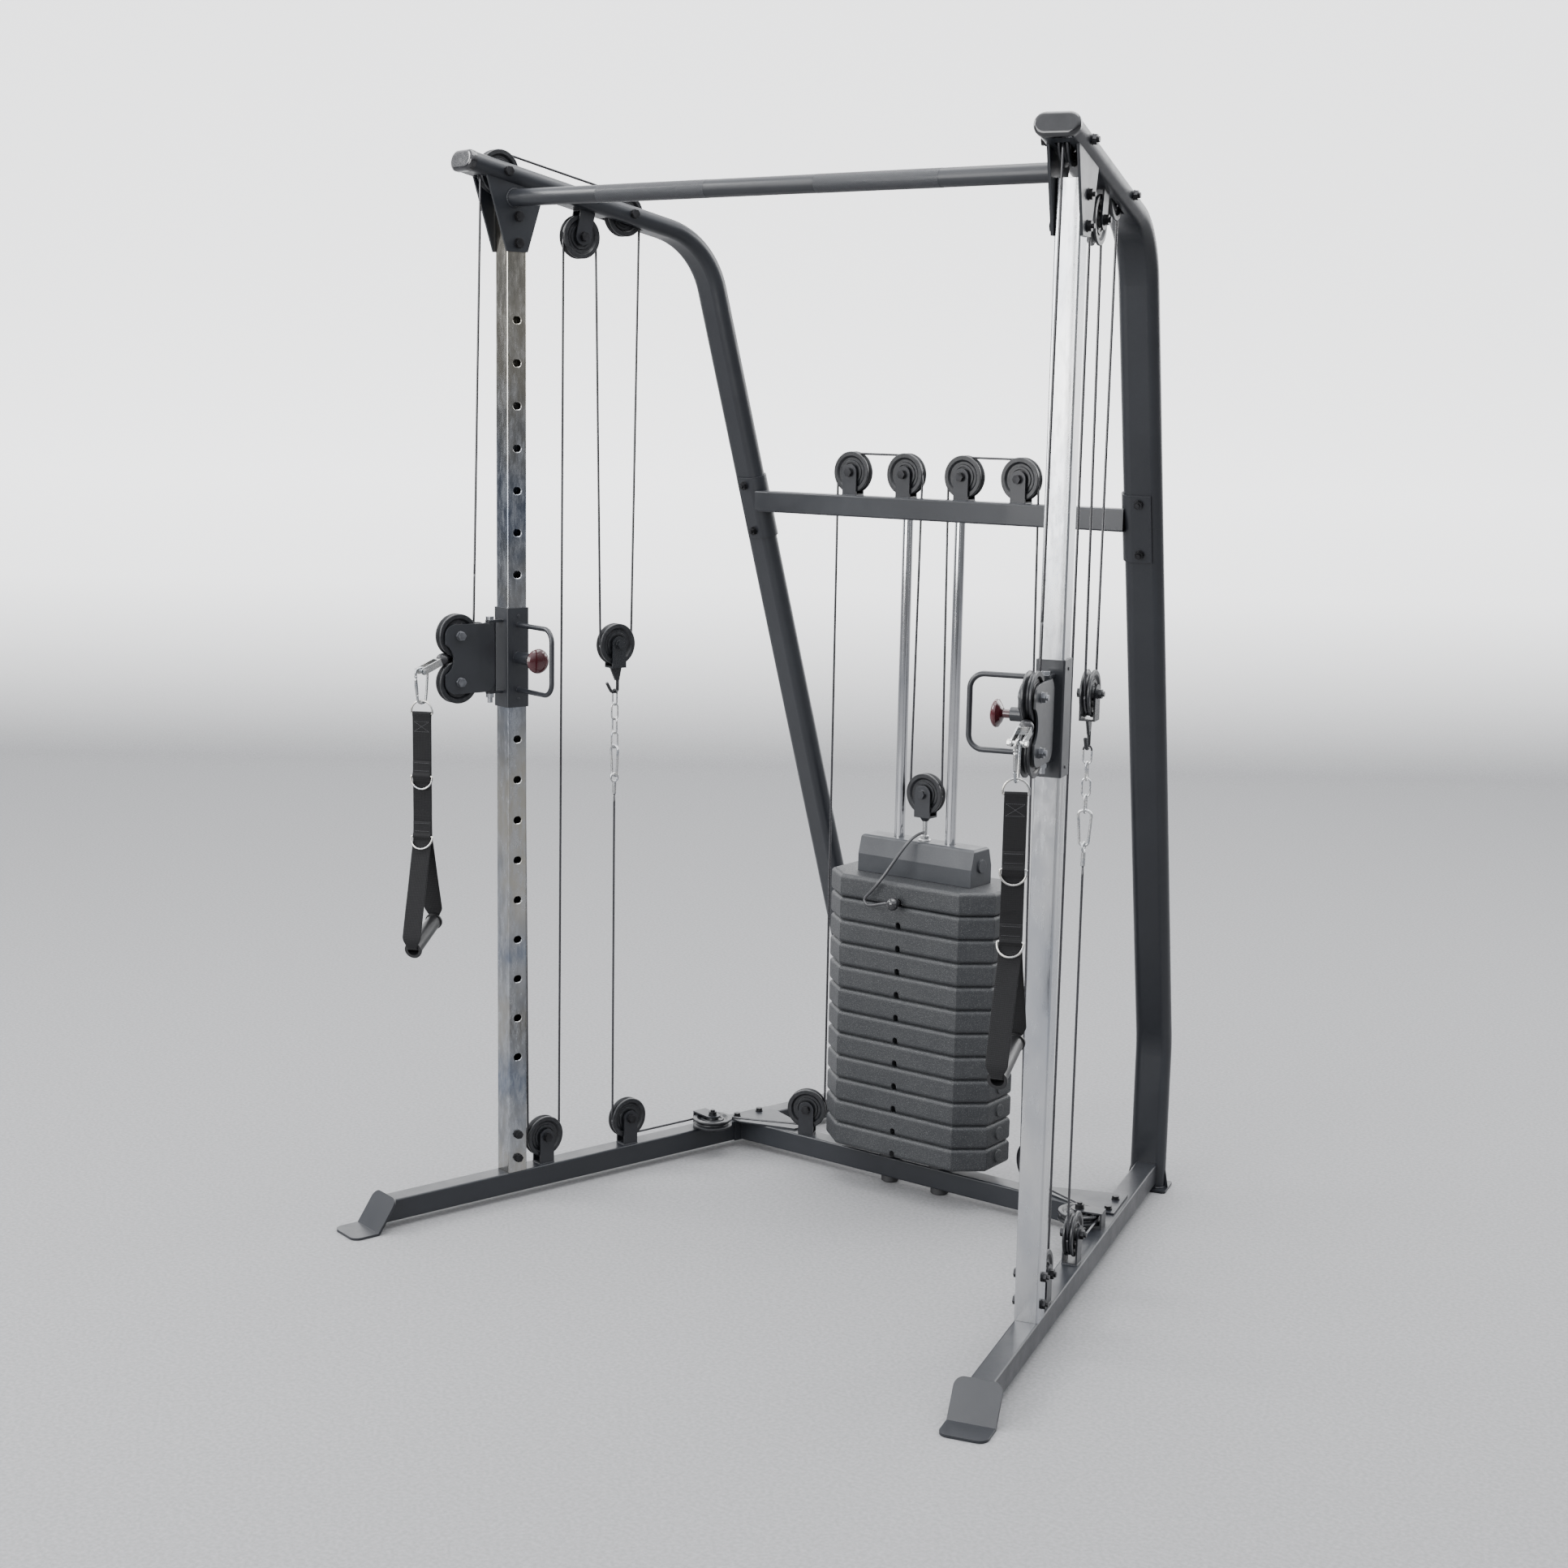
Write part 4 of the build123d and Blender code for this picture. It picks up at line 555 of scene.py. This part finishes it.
def stack_cable(side):
    """Float to stack pulley by way of the corner and the crossbars."""
    flip = 1 if side == "right" else -1
    low = LOW_Z - ROUND
    head = (FLOAT[0] + 0.0015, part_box(f"float_{side}")[0][2] - 0.0001, 0, 1)
    down = tangent(head, (RAIL[1], LOW_Z, ROUND, -1))

    def lift(s, z):
        return side_point(side, s, 0, z)

    start, end = (lift(*p) for p in down)
    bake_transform(tube(f"stack_run_{side}_0", [start, end], CABLE_R, JACKET))
    points = wrap((RAIL[1], LOW_Z, ROUND, -1), down[1], (RAIL[1], low), lift)
    corner = side_point("right", CORNER_S, -ROUND, 0)
    enter = side_point("right", CORNER_S, 0, 0)
    leave, _ = tangent((corner.x, corner.y, ROUND, 1), (CROSS_X, STACK_Y, 0, 1))
    yaw = math.atan2(STACK_Y - leave[1], leave[0] - CROSS_X)
    first = math.atan2(enter.y - corner.y, enter.x - corner.x)
    last = math.atan2(leave[1] - corner.y, leave[0] - corner.x)
    bend = arc(corner, Vector((1, 0, 0)), Vector((0, 1, 0)), ROUND, first, last)
    points += [Vector((flip * p.x, p.y, low)) for p in bend]
    out = Vector((-flip * math.cos(yaw), math.sin(yaw), 0))
    centre = Vector((flip * CROSS_X, STACK_Y, LOW_Z))
    points += arc(centre, out, Vector((0, 0, 1)), ROUND, -math.pi / 2, 0)

    def flat(x, z):
        return Vector((flip * x, STACK_Y, z))

    wheels = [(MID_X[0], MID_Z, ROUND, 1), (MID_X[1], MID_Z, ROUND, 1), (0, STACK_Z, ROUND, -1)]
    over, fall = tangent(wheels[0], wheels[1]), tangent(wheels[1], wheels[2])
    points += wrap(wheels[0], (MID_X[0] + ROUND, MID_Z), over[0], flat)
    points += wrap(wheels[1], over[1], fall[0], flat)
    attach(tube(f"stack_run_{side}_1", points, CABLE_R, JACKET, 0.02), "frame")
    start, end = flat(*fall[0]), flat(*fall[1])
    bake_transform(tube(f"stack_run_{side}_2", [start, end], CABLE_R, JACKET))
    return wrap(wheels[2], fall[1], (0, STACK_Z - ROUND), flat)


for side in SIDES:
    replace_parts(handle_cable(side), f"handle_cable_{side}")
halves = [stack_cable(side) for side in SIDES]
under = tube("stack_cable_turn", halves[0] + halves[1][::-1][1:], CABLE_R, JACKET, 0.01)
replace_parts(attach(under, "stack"), "stack_cable")


# ---- lanyard --------------------------------------------------------------------------------
CORD_POINTS = [(0, -7.6, 94), (-5, -30, 91), (-12, -58, 70), (-21, -92, 34), (-38, -105, 2), (-58, -110, -24),
               (-74, -112, -40), (-66, -114.5, -52), (-50, -114.5, -51), (-32, -114.5, -45),
               (-14.3, -114.5, -40.9)]   # in mm, from the middle of the head's base
CORD_R = 0.0032


def nurbs_points(points, resolution=14):
    """Points along a quadratic curve that starts and ends at the first and last of the given points."""
    curve = bpy.data.curves.new("cord_line", "CURVE")
    curve.dimensions = "3D"
    spline = curve.splines.new("NURBS")
    spline.points.add(len(points) - 1)
    for point, value in zip(spline.points, points):
        point.co = (*value, 1.0)
    spline.order_u = 3
    spline.use_endpoint_u = True
    spline.resolution_u = resolution
    obj = bpy.data.objects.new("cord_line", curve)
    bpy.context.scene.collection.objects.link(obj)
    bpy.context.view_layer.update()
    mesh = obj.evaluated_get(bpy.context.evaluated_depsgraph_get()).to_mesh()
    out = [v.co.copy() for v in mesh.vertices]
    bpy.data.objects.remove(obj)
    bpy.data.curves.remove(curve)
    return out


line = nurbs_points([(x / 1000, STACK_Y + y / 1000, HEAD_Z + z / 1000) for x, y, z in CORD_POINTS])
cord = tube("pin_cord", line, CORD_R, CORD, 0.01, 14)
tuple(line[len(line) // 4])
tuple(line[-1])
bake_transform(cord)
tuple(line[0])
sum((b - a).length for a, b in zip(line, line[1:]))
[tuple(p) for p in line]
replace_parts(cord, "pin_lanyard")


# ---- hand straps ----------------------------------------------------------------------------
RING_Z = (-0.084, -0.208, -0.329)
RING_TILT = (math.radians(6.0), math.radians(24.0))
SPLIT, GRIP_Z, GRIP_END = -0.340, -0.530, 0.0632
TILT = math.radians(17.0)
WEB_W, WEB_T = 0.038, 0.0019
NARROW_W = 0.0205
WIRE_R = 0.0019


def strap_place(side):
    """Matrix from a strap's own frame (width, facing, up) to the row frame; its front faces -Y."""
    yaw = STRAP_YAW[side]
    origin = side_point(side, STRAP_PIN[0], 0, STRAP_PIN[1])
    forward = side_point(side, 1, 0, 0) - side_point(side, 0, 0, 0)
    outward = side_point(side, 0, 1, 0) - side_point(side, 0, 0, 0)
    wide = forward * math.cos(yaw) + outward * math.sin(yaw)
    face = outward * math.cos(yaw) - forward * math.sin(yaw)
    columns = (wide, face, Vector((0, 0, 1)), origin)
    return Matrix([[c[i] for c in columns] for i in range(3)] + [[0, 0, 0, 1]])


def grip_point(y, z):
    """A point beside the tilted grip tube, in the strap's own frame."""
    across = y * math.cos(TILT) - z * math.sin(TILT)
    return Vector((0, across, GRIP_Z + y * math.sin(TILT) + z * math.cos(TILT)))


def ribbon(points, width, thickness, closed=False, ripple=0.0):
    """Strip of webbing along the points, with rounded selvedges; width is a number or a function of place."""
    lower = [(-1, -0.55), (-0.985, -0.9), (-0.9, -1), (-0.5, -1), (0, -1),
             (0.5, -1), (0.9, -1), (0.985, -0.9), (1, -0.55)]
    profile = lower + [(-a, -b) for a, b in lower]
    verts, faces, uvs = [], [], []
    run, count, size = 0.0, len(points), len(profile)
    for k, point in enumerate(points):
        before = points[k - 1] if k or closed else points[0]
        after = points[(k + 1) % count] if k + 1 < count or closed else points[-1]
        heading = (after - before).normalized()
        out = Vector((1, 0, 0)).cross(heading)
        run += (point - points[k - 1]).length if k else 0.0
        half = (width(point) if callable(width) else width) / 2
        wave = ripple * math.sin(run * 55.0)
        for a, b in profile:
            verts.append(point + Vector((a * half, 0, 0)) + out * (b * thickness / 2 + wave * a * a))
            uvs.append((a * half, run))
    for k in range(count if closed else count - 1):
        for j in range(size):
            a, b = k * size + j, k * size + (j + 1) % size
            c, d = ((k + 1) % count) * size + j, ((k + 1) % count) * size + (j + 1) % size
            faces.append([a, c, d, b])
    if not closed:
        faces.append(list(range(size)))
        faces.append([(count - 1) * size + j for j in range(size)][::-1])
    return verts, faces, uvs


def loop_points():
    """Centre line of the long webbing: up the front, over the ring, down the back, round the hand loop."""
    gap = WEB_T / 2 + 0.0002
    bar = RING_Z[0]
    turn = 0.0036
    around = [Vector((0, -turn * math.cos(t), bar + turn * math.sin(t)))
              for t in (0, 0.8, 1.57, 2.34, math.pi)]
    front = [Vector((0, -gap, z)) for z in (SPLIT + 0.012, RING_Z[1], bar - 0.012)]
    back = [Vector((0, gap, z)) for z in (bar - 0.012, RING_Z[1], SPLIT + 0.012)]
    end = GRIP_END
    ends = [(end, 0.021), (end + 0.0004, 0.004), (end - 0.006, -0.0012), (0, -0.0012),
            (0.006 - end, -0.0012), (-end - 0.0004, 0.004), (-end, 0.021)]
    hand = [grip_point(*p) for p in ends]
    rear, fore = back[-1].lerp(hand[0], 0.08), front[0].lerp(hand[-1], 0.08)
    legs = [back[-1].lerp(hand[0], 0.90)] + hand + [front[0].lerp(hand[-1], 0.90)]
    return smoothed(front + around + back + [rear] + legs + [fore], 3, True)


def twisted(point, turn):
    """A strap point after the gentle turn between the last ring and the grip."""
    t = min(max((SPLIT + 0.10 - point.z) / 0.20, 0.0), 1.0)
    angle = turn * t * t * (3 - 2 * t)
    return Matrix.Rotation(angle, 3, "Z") @ point


def loop_width(point):
    """Full width up the strap, folded narrow where it enters the grip."""
    height = point.z - GRIP_Z - math.tan(TILT) * point.y
    t = min(max((height - 0.005) / 0.024, 0.0), 1.0)
    return NARROW_W + (WEB_W - NARROW_W) * t * t * (3 - 2 * t)


def stitches(name, rows, material):
    """Short raised threads laid end to end along each row."""
    verts, faces = [], []
    for a, b in rows:
        count = max(2, round((b - a).length / 0.0032))
        for k in range(count):
            start, end = a.lerp(b, (k + 0.12) / count), a.lerp(b, (k + 0.88) / count)
            middle = start.lerp(end, 0.5) + Vector((0, -0.00018, 0))
            swell = lambda t: 0.0002 + 0.0005 * math.sin(math.pi * t)
            new_verts, new_faces = tube_mesh([start, middle, end], swell, 6, False, len(verts))
            verts += new_verts
            faces += new_faces
    return new_object(name, verts, faces, material)


def ring_points(z, y, sign, radius=0.0215, tilt=0.0):
    """D ring: round bow and straight bar with small corner radii, as one closed line."""
    peak = radius + 0.004
    ball = (radius * radius + peak * peak) / (2 * peak)
    centre, top = peak - ball, math.asin(radius / ball)
    if centre > 0:
        top = math.pi - top
    bow = []
    for k in range(29):
        t = top - 2 * top * k / 28
        drop = centre + ball * math.cos(t)
        bow.append(Vector((ball * math.sin(t), y - drop * math.sin(tilt), z + sign * drop * math.cos(tilt))))
    bar = [bow[-1].lerp(bow[0], k / 8) for k in range(1, 8)]
    return smoothed(bow + bar, 2, True)


def strap(side):
    """Webbing, stitching, D rings and snap hook of one hand strap."""
    place = strap_place(side)
    made = []

    def keep(obj):
        for vertex in obj.data.vertices:
            vertex.co = twisted(vertex.co, LOOP_YAW[side])
        obj.data.transform(place)
        made.append(obj)
        return obj

    path = loop_points()
    verts, faces, uvs = ribbon(path, loop_width, WEB_T, True, 0.00025)
    web = keep(new_object(f"webbing_{side}", verts, faces, WEBBING, uvs=uvs))
    rows = []
    front = -WEB_T - 0.0004
    edge = WEB_W / 2 - 0.0035
    for z in (RING_Z[0] - 0.016, RING_Z[0] - 0.036, SPLIT + 0.012, SPLIT + 0.034):
        rows.append((Vector((-edge, front, z)), Vector((edge, front, z))))
    for low, high in ((RING_Z[0] - 0.036, RING_Z[0] - 0.016), (SPLIT + 0.012, SPLIT + 0.034)):
        rows.append((Vector((-edge, front, low)), Vector((edge, front, high))))
        rows.append((Vector((-edge, front, high)), Vector((edge, front, low))))
    for index, z in enumerate(RING_Z[1:]):
        lie = front - WEB_T / 2 - 0.0002
        bar_y = -0.0024 - 0.0024
        fold = [Vector((0, y, z + rise)) for y, rise in (
            (lie, 0.030), (lie, 0.008), (bar_y - 0.0016, 0.0036), (bar_y - 0.0032, 0),
            (bar_y - 0.0012, -0.0036), (lie, -0.0075), (lie, -0.012))]
        verts, faces, uvs = ribbon(smoothed(fold, 3), WEB_W - 0.001, WEB_T * 0.8)
        keep(new_object(f"keeper_{side}_{index}", verts, faces, WEBBING, uvs=uvs))
        over = lie - WEB_T * 0.4 - 0.0002
        for row in (z + 0.026, z + 0.0105):
            rows.append((Vector((-edge, over, row)), Vector((edge, over, row))))
        ring = ring_points(z, bar_y, -1, tilt=RING_TILT[index])
        keep(tube(f"d_ring_{side}_{index + 1}", ring, WIRE_R, NICKEL, sides=14, closed=True))
    keep(stitches(f"stitching_{side}", rows, THREAD))
    keep(tube(f"d_ring_{side}_0", ring_points(RING_Z[0], 0, 1), WIRE_R, NICKEL, sides=14, closed=True))
    made += snap_hook(side)
    for obj in made:
        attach(obj, f"strap_{side}")
    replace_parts(web, f"strap_{side}")


def snap_hook(side):
    """Pear-shaped snap hook under the clevis bolt, with its gate, nose and rivet."""
    top, low, wide, narrow, wire = 0.0061, -0.0634, 0.013, 0.010, 0.0025
    centre = STRAP_PIN

    def at(s, z, n=0.0):
        return side_point(side, centre[0] + s, n, centre[1] + z)

    half = [(wide * 0.35, top), (wide, top - 0.004), (wide, top - 0.016), (narrow, low + 0.012),
            (narrow * 0.75, low)]
    corners = half + [(-a, b) for a, b in half[::-1]]
    path = smoothed([Vector((a, 0, b)) for a, b in corners], 3, True)
    out = [tube(f"snap_hook_{side}", [at(p.x, p.z) for p in path], wire, ZINC, sides=14, closed=True)]
    gate = [at(wide, top - 0.020), at((wide + narrow) / 2 + 0.0006, (top + low) / 2),
            at(narrow * 1.02, low + 0.018)]
    swell = lambda t: 0.0029 + 0.0005 * math.sin(math.pi * t)
    out.append(tube(f"snap_gate_{side}", gate, swell, ZINC, 0.004, 14))
    for name, (s, z) in (("rivet", (narrow * 1.02, low + 0.015)), ("nose", (wide, top - 0.0165))):
        ends = [at(s, z, -0.0036), at(s, z, -0.003), at(s, z, 0.003), at(s, z, 0.0036)]
        size = [0.0012, 0.0019, 0.0019, 0.0012]
        verts, faces = tube_mesh(ends, lambda t: size[round(t * 3)], 12)
        out.append(new_object(f"snap_{name}_{side}", verts, faces, ZINC))
    return out


for side in SIDES:
    strap(side)


# ---- weld beads -----------------------------------------------------------------------------
def bead(name, points, radius, closed=False):
    """Rippled weld bead along a joint."""
    points = spaced(points + points[:1] if closed else points, 0.0018)
    if closed:
        points = points[:-1]
    ripple = [radius * (0.86 + 0.14 * math.sin(k * 1.9) + 0.05 * random.random()) for k in range(len(points))]
    top = max(1, len(points) - 1)
    verts, faces = tube_mesh(points, lambda t: ripple[round(t * top)], 8, closed)
    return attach(new_object(name, verts, faces, POWDER), "frame")


def plan_rectangle(side, s0, s1, n0, n1, z):
    return [side_point(side, s, n, z) for s, n in ((s0, n0), (s1, n0), (s1, n1), (s0, n1))]


FOOT_S, FOOT_N, FOOT_Z, POST_ROUND = -0.935, 0.019, 0.0055, 0.0192
LEG_S, LEG_N = 0.0168, 0.0148          # half the length and width of the bead round a pulley bracket's foot
RAIL_TOP, MID_TOP = 0.0592, 1.4622     # heights of those beads on the rail and on the crossbar
for side in SIDES:
    forward = side_point(side, 1, 0, 0) - side_point(side, 0, 0, 0)
    outward = side_point(side, 0, 1, 0) - side_point(side, 0, 0, 0)
    for index, s in enumerate(RAIL):
        seat = plan_rectangle(side, s - LEG_S, s + LEG_S, -LEG_N, LEG_N, RAIL_TOP)
        bead(f"weld_rail_{side}_{index}", seat, 0.0016, True)
    quarter = math.pi / 2
    stadium = arc(side_point(side, FOOT_S, FOOT_N, FOOT_Z), outward, forward, POST_ROUND, -quarter, quarter)
    stadium += arc(side_point(side, FOOT_S, -FOOT_N, FOOT_Z), -outward, -forward, POST_ROUND,
                   -quarter, quarter)
    bead(f"weld_post_{side}", stadium, 0.0026, True)
    flip = 1 if side == "right" else -1
    for index, x in enumerate(MID_X):
        corners = ((-LEG_S, -LEG_N), (LEG_S, -LEG_N), (LEG_S, LEG_N), (-LEG_S, LEG_N))
        points = [Vector((flip * x + a, STACK_Y + b, MID_TOP)) for a, b in corners]
        bead(f"weld_mid_{side}_{index}", points, 0.0016, True)
    middle = side_point(side, 0.0085, -0.0276, BAR_Z)
    bar_end = arc(middle, Vector((0, 0, 1)), forward, 0.0172, 0, 2 * math.pi, 40)
    bead(f"weld_bar_{side}", bar_end[:-1], 0.0026, True)


# ---- stage, light and camera ----------------------------------------------------------------
VIEW_YAW = math.radians(36.17)


def floor():
    """Pale floor that bends up into a brighter wall behind the machine; the sweep and wall carry a painted
    glow that rises with height, standing in for lamp light on the backdrop.
    """
    g = Graph("studio_floor")
    grain = g.mix(g.ramp(g.noise(140.0, 3.0), 0.35, 0.7), rgb(0.19, 0.19, 0.194), rgb(0.25, 0.25, 0.254))
    color = g.mix(g.ramp(g.split()[2], 0.02, 1.2), grain, rgb(0.93, 0.93, 0.93))
    material = g.finish(color, 0.75, 0.0, g.bump(g.noise(90.0), 0.0004, 0.3))
    # painted light: the backdrop glows, from none at the floor to strength 1.5 from 0.7 m up, though it is no
    # lamp
    g.put(g.shader.inputs["Emission Color"], rgb(1.0, 1.0, 1.0))
    g.put(g.shader.inputs["Emission Strength"], g.ramp(g.split()[2], 0.01, 0.7, 0.0, 1.5))
    size, bend, rise, back = 14.0, 2.2, 9.0, 5.5
    rows = [(-9.0, 0.0), (back, 0.0)]
    for k in range(1, 15):
        t = math.pi / 2 * k / 14
        rows.append((back + bend * math.sin(t), bend - bend * math.cos(t)))
    rows.append((back + bend, rise))
    turn = Matrix.Rotation(VIEW_YAW, 4, "Z")
    verts = [turn @ Vector((x, y, z - 0.0004)) for y, z in rows for x in (-size, size)]
    faces = [[2 * k, 2 * k + 1, 2 * k + 3, 2 * k + 2] for k in range(len(rows) - 1)]
    return new_object("studio_floor", verts, faces, material)


floor()


def lamp(name, place, target, size, power):
    data = bpy.data.lights.new(name, "AREA")
    data.shape, data.energy = "RECTANGLE", power
    data.size, data.size_y = size
    obj = bpy.data.objects.new(name, data)
    obj.location = place
    obj.rotation_euler = (Vector(target) - Vector(place)).to_track_quat("-Z", "Y").to_euler()
    bpy.context.scene.collection.objects.link(obj)


lamp("front_softbox", (-0.9, -5.4, 2.3), (0.2, 0, 1.0), (4.4, 3.0), 330)
lamp("key_light", (-3.6, -2.2, 3.9), (0, 0, 1.0), (1.8, 1.8), 170)
lamp("top_light", (0.3, 0.3, 4.8), (0, 0, 0.4), (3.4, 3.4), 210)
lamp("back_light", (2.2, 4.0, 3.2), (0, 0, 1.2), (2.4, 2.4), 120)


def studio_world():
    """Light room: bright ceiling, dimmer at eye level so that metal has something to reflect."""
    world = bpy.data.worlds.new("studio")
    bpy.context.scene.world = world
    world.use_nodes = True
    nodes, links = world.node_tree.nodes, world.node_tree.links
    place = nodes.new("ShaderNodeTexCoord")
    split = nodes.new("ShaderNodeSeparateXYZ")
    high = nodes.new("ShaderNodeMapRange")
    links.new(place.outputs["Generated"], split.inputs[0])
    links.new(split.outputs[2], high.inputs[0])
    low_sky, high_sky, dim, bright = 0.05, 0.60, 0.30, 2.2
    for index, value in enumerate((low_sky, high_sky, dim, bright), 1):
        high.inputs[index].default_value = value
    links.new(high.outputs[0], nodes["Background"].inputs[1])
    nodes["Background"].inputs[0].default_value = (0.94, 0.96, 1.0, 1.0)


studio_world()
yaw, pitch, roll = VIEW_YAW, math.radians(-9.67), math.radians(1.1)
ahead = Vector((-math.sin(yaw) * math.cos(pitch), math.cos(yaw) * math.cos(pitch), math.sin(pitch)))
level = Vector((math.cos(yaw), math.sin(yaw), 0))
above = level.cross(ahead)
right = level * math.cos(roll) + above * math.sin(roll)
up = above * math.cos(roll) - level * math.sin(roll)
eye = Vector((2.53106, -3.36186 + UPRIGHT[1], 1.66643))
camera = bpy.data.objects.new("camera", bpy.data.cameras.new("camera"))
camera.data.sensor_width = 36.0
camera.data.lens = 52.4508
camera.data.shift_x, camera.data.shift_y = -0.003028, -0.00014
camera.matrix_world = Matrix([[c[i] for c in (right, up, -ahead, eye)] for i in range(3)] + [[0, 0, 0, 1]])
bpy.context.scene.collection.objects.link(camera)
bpy.context.scene.camera = camera
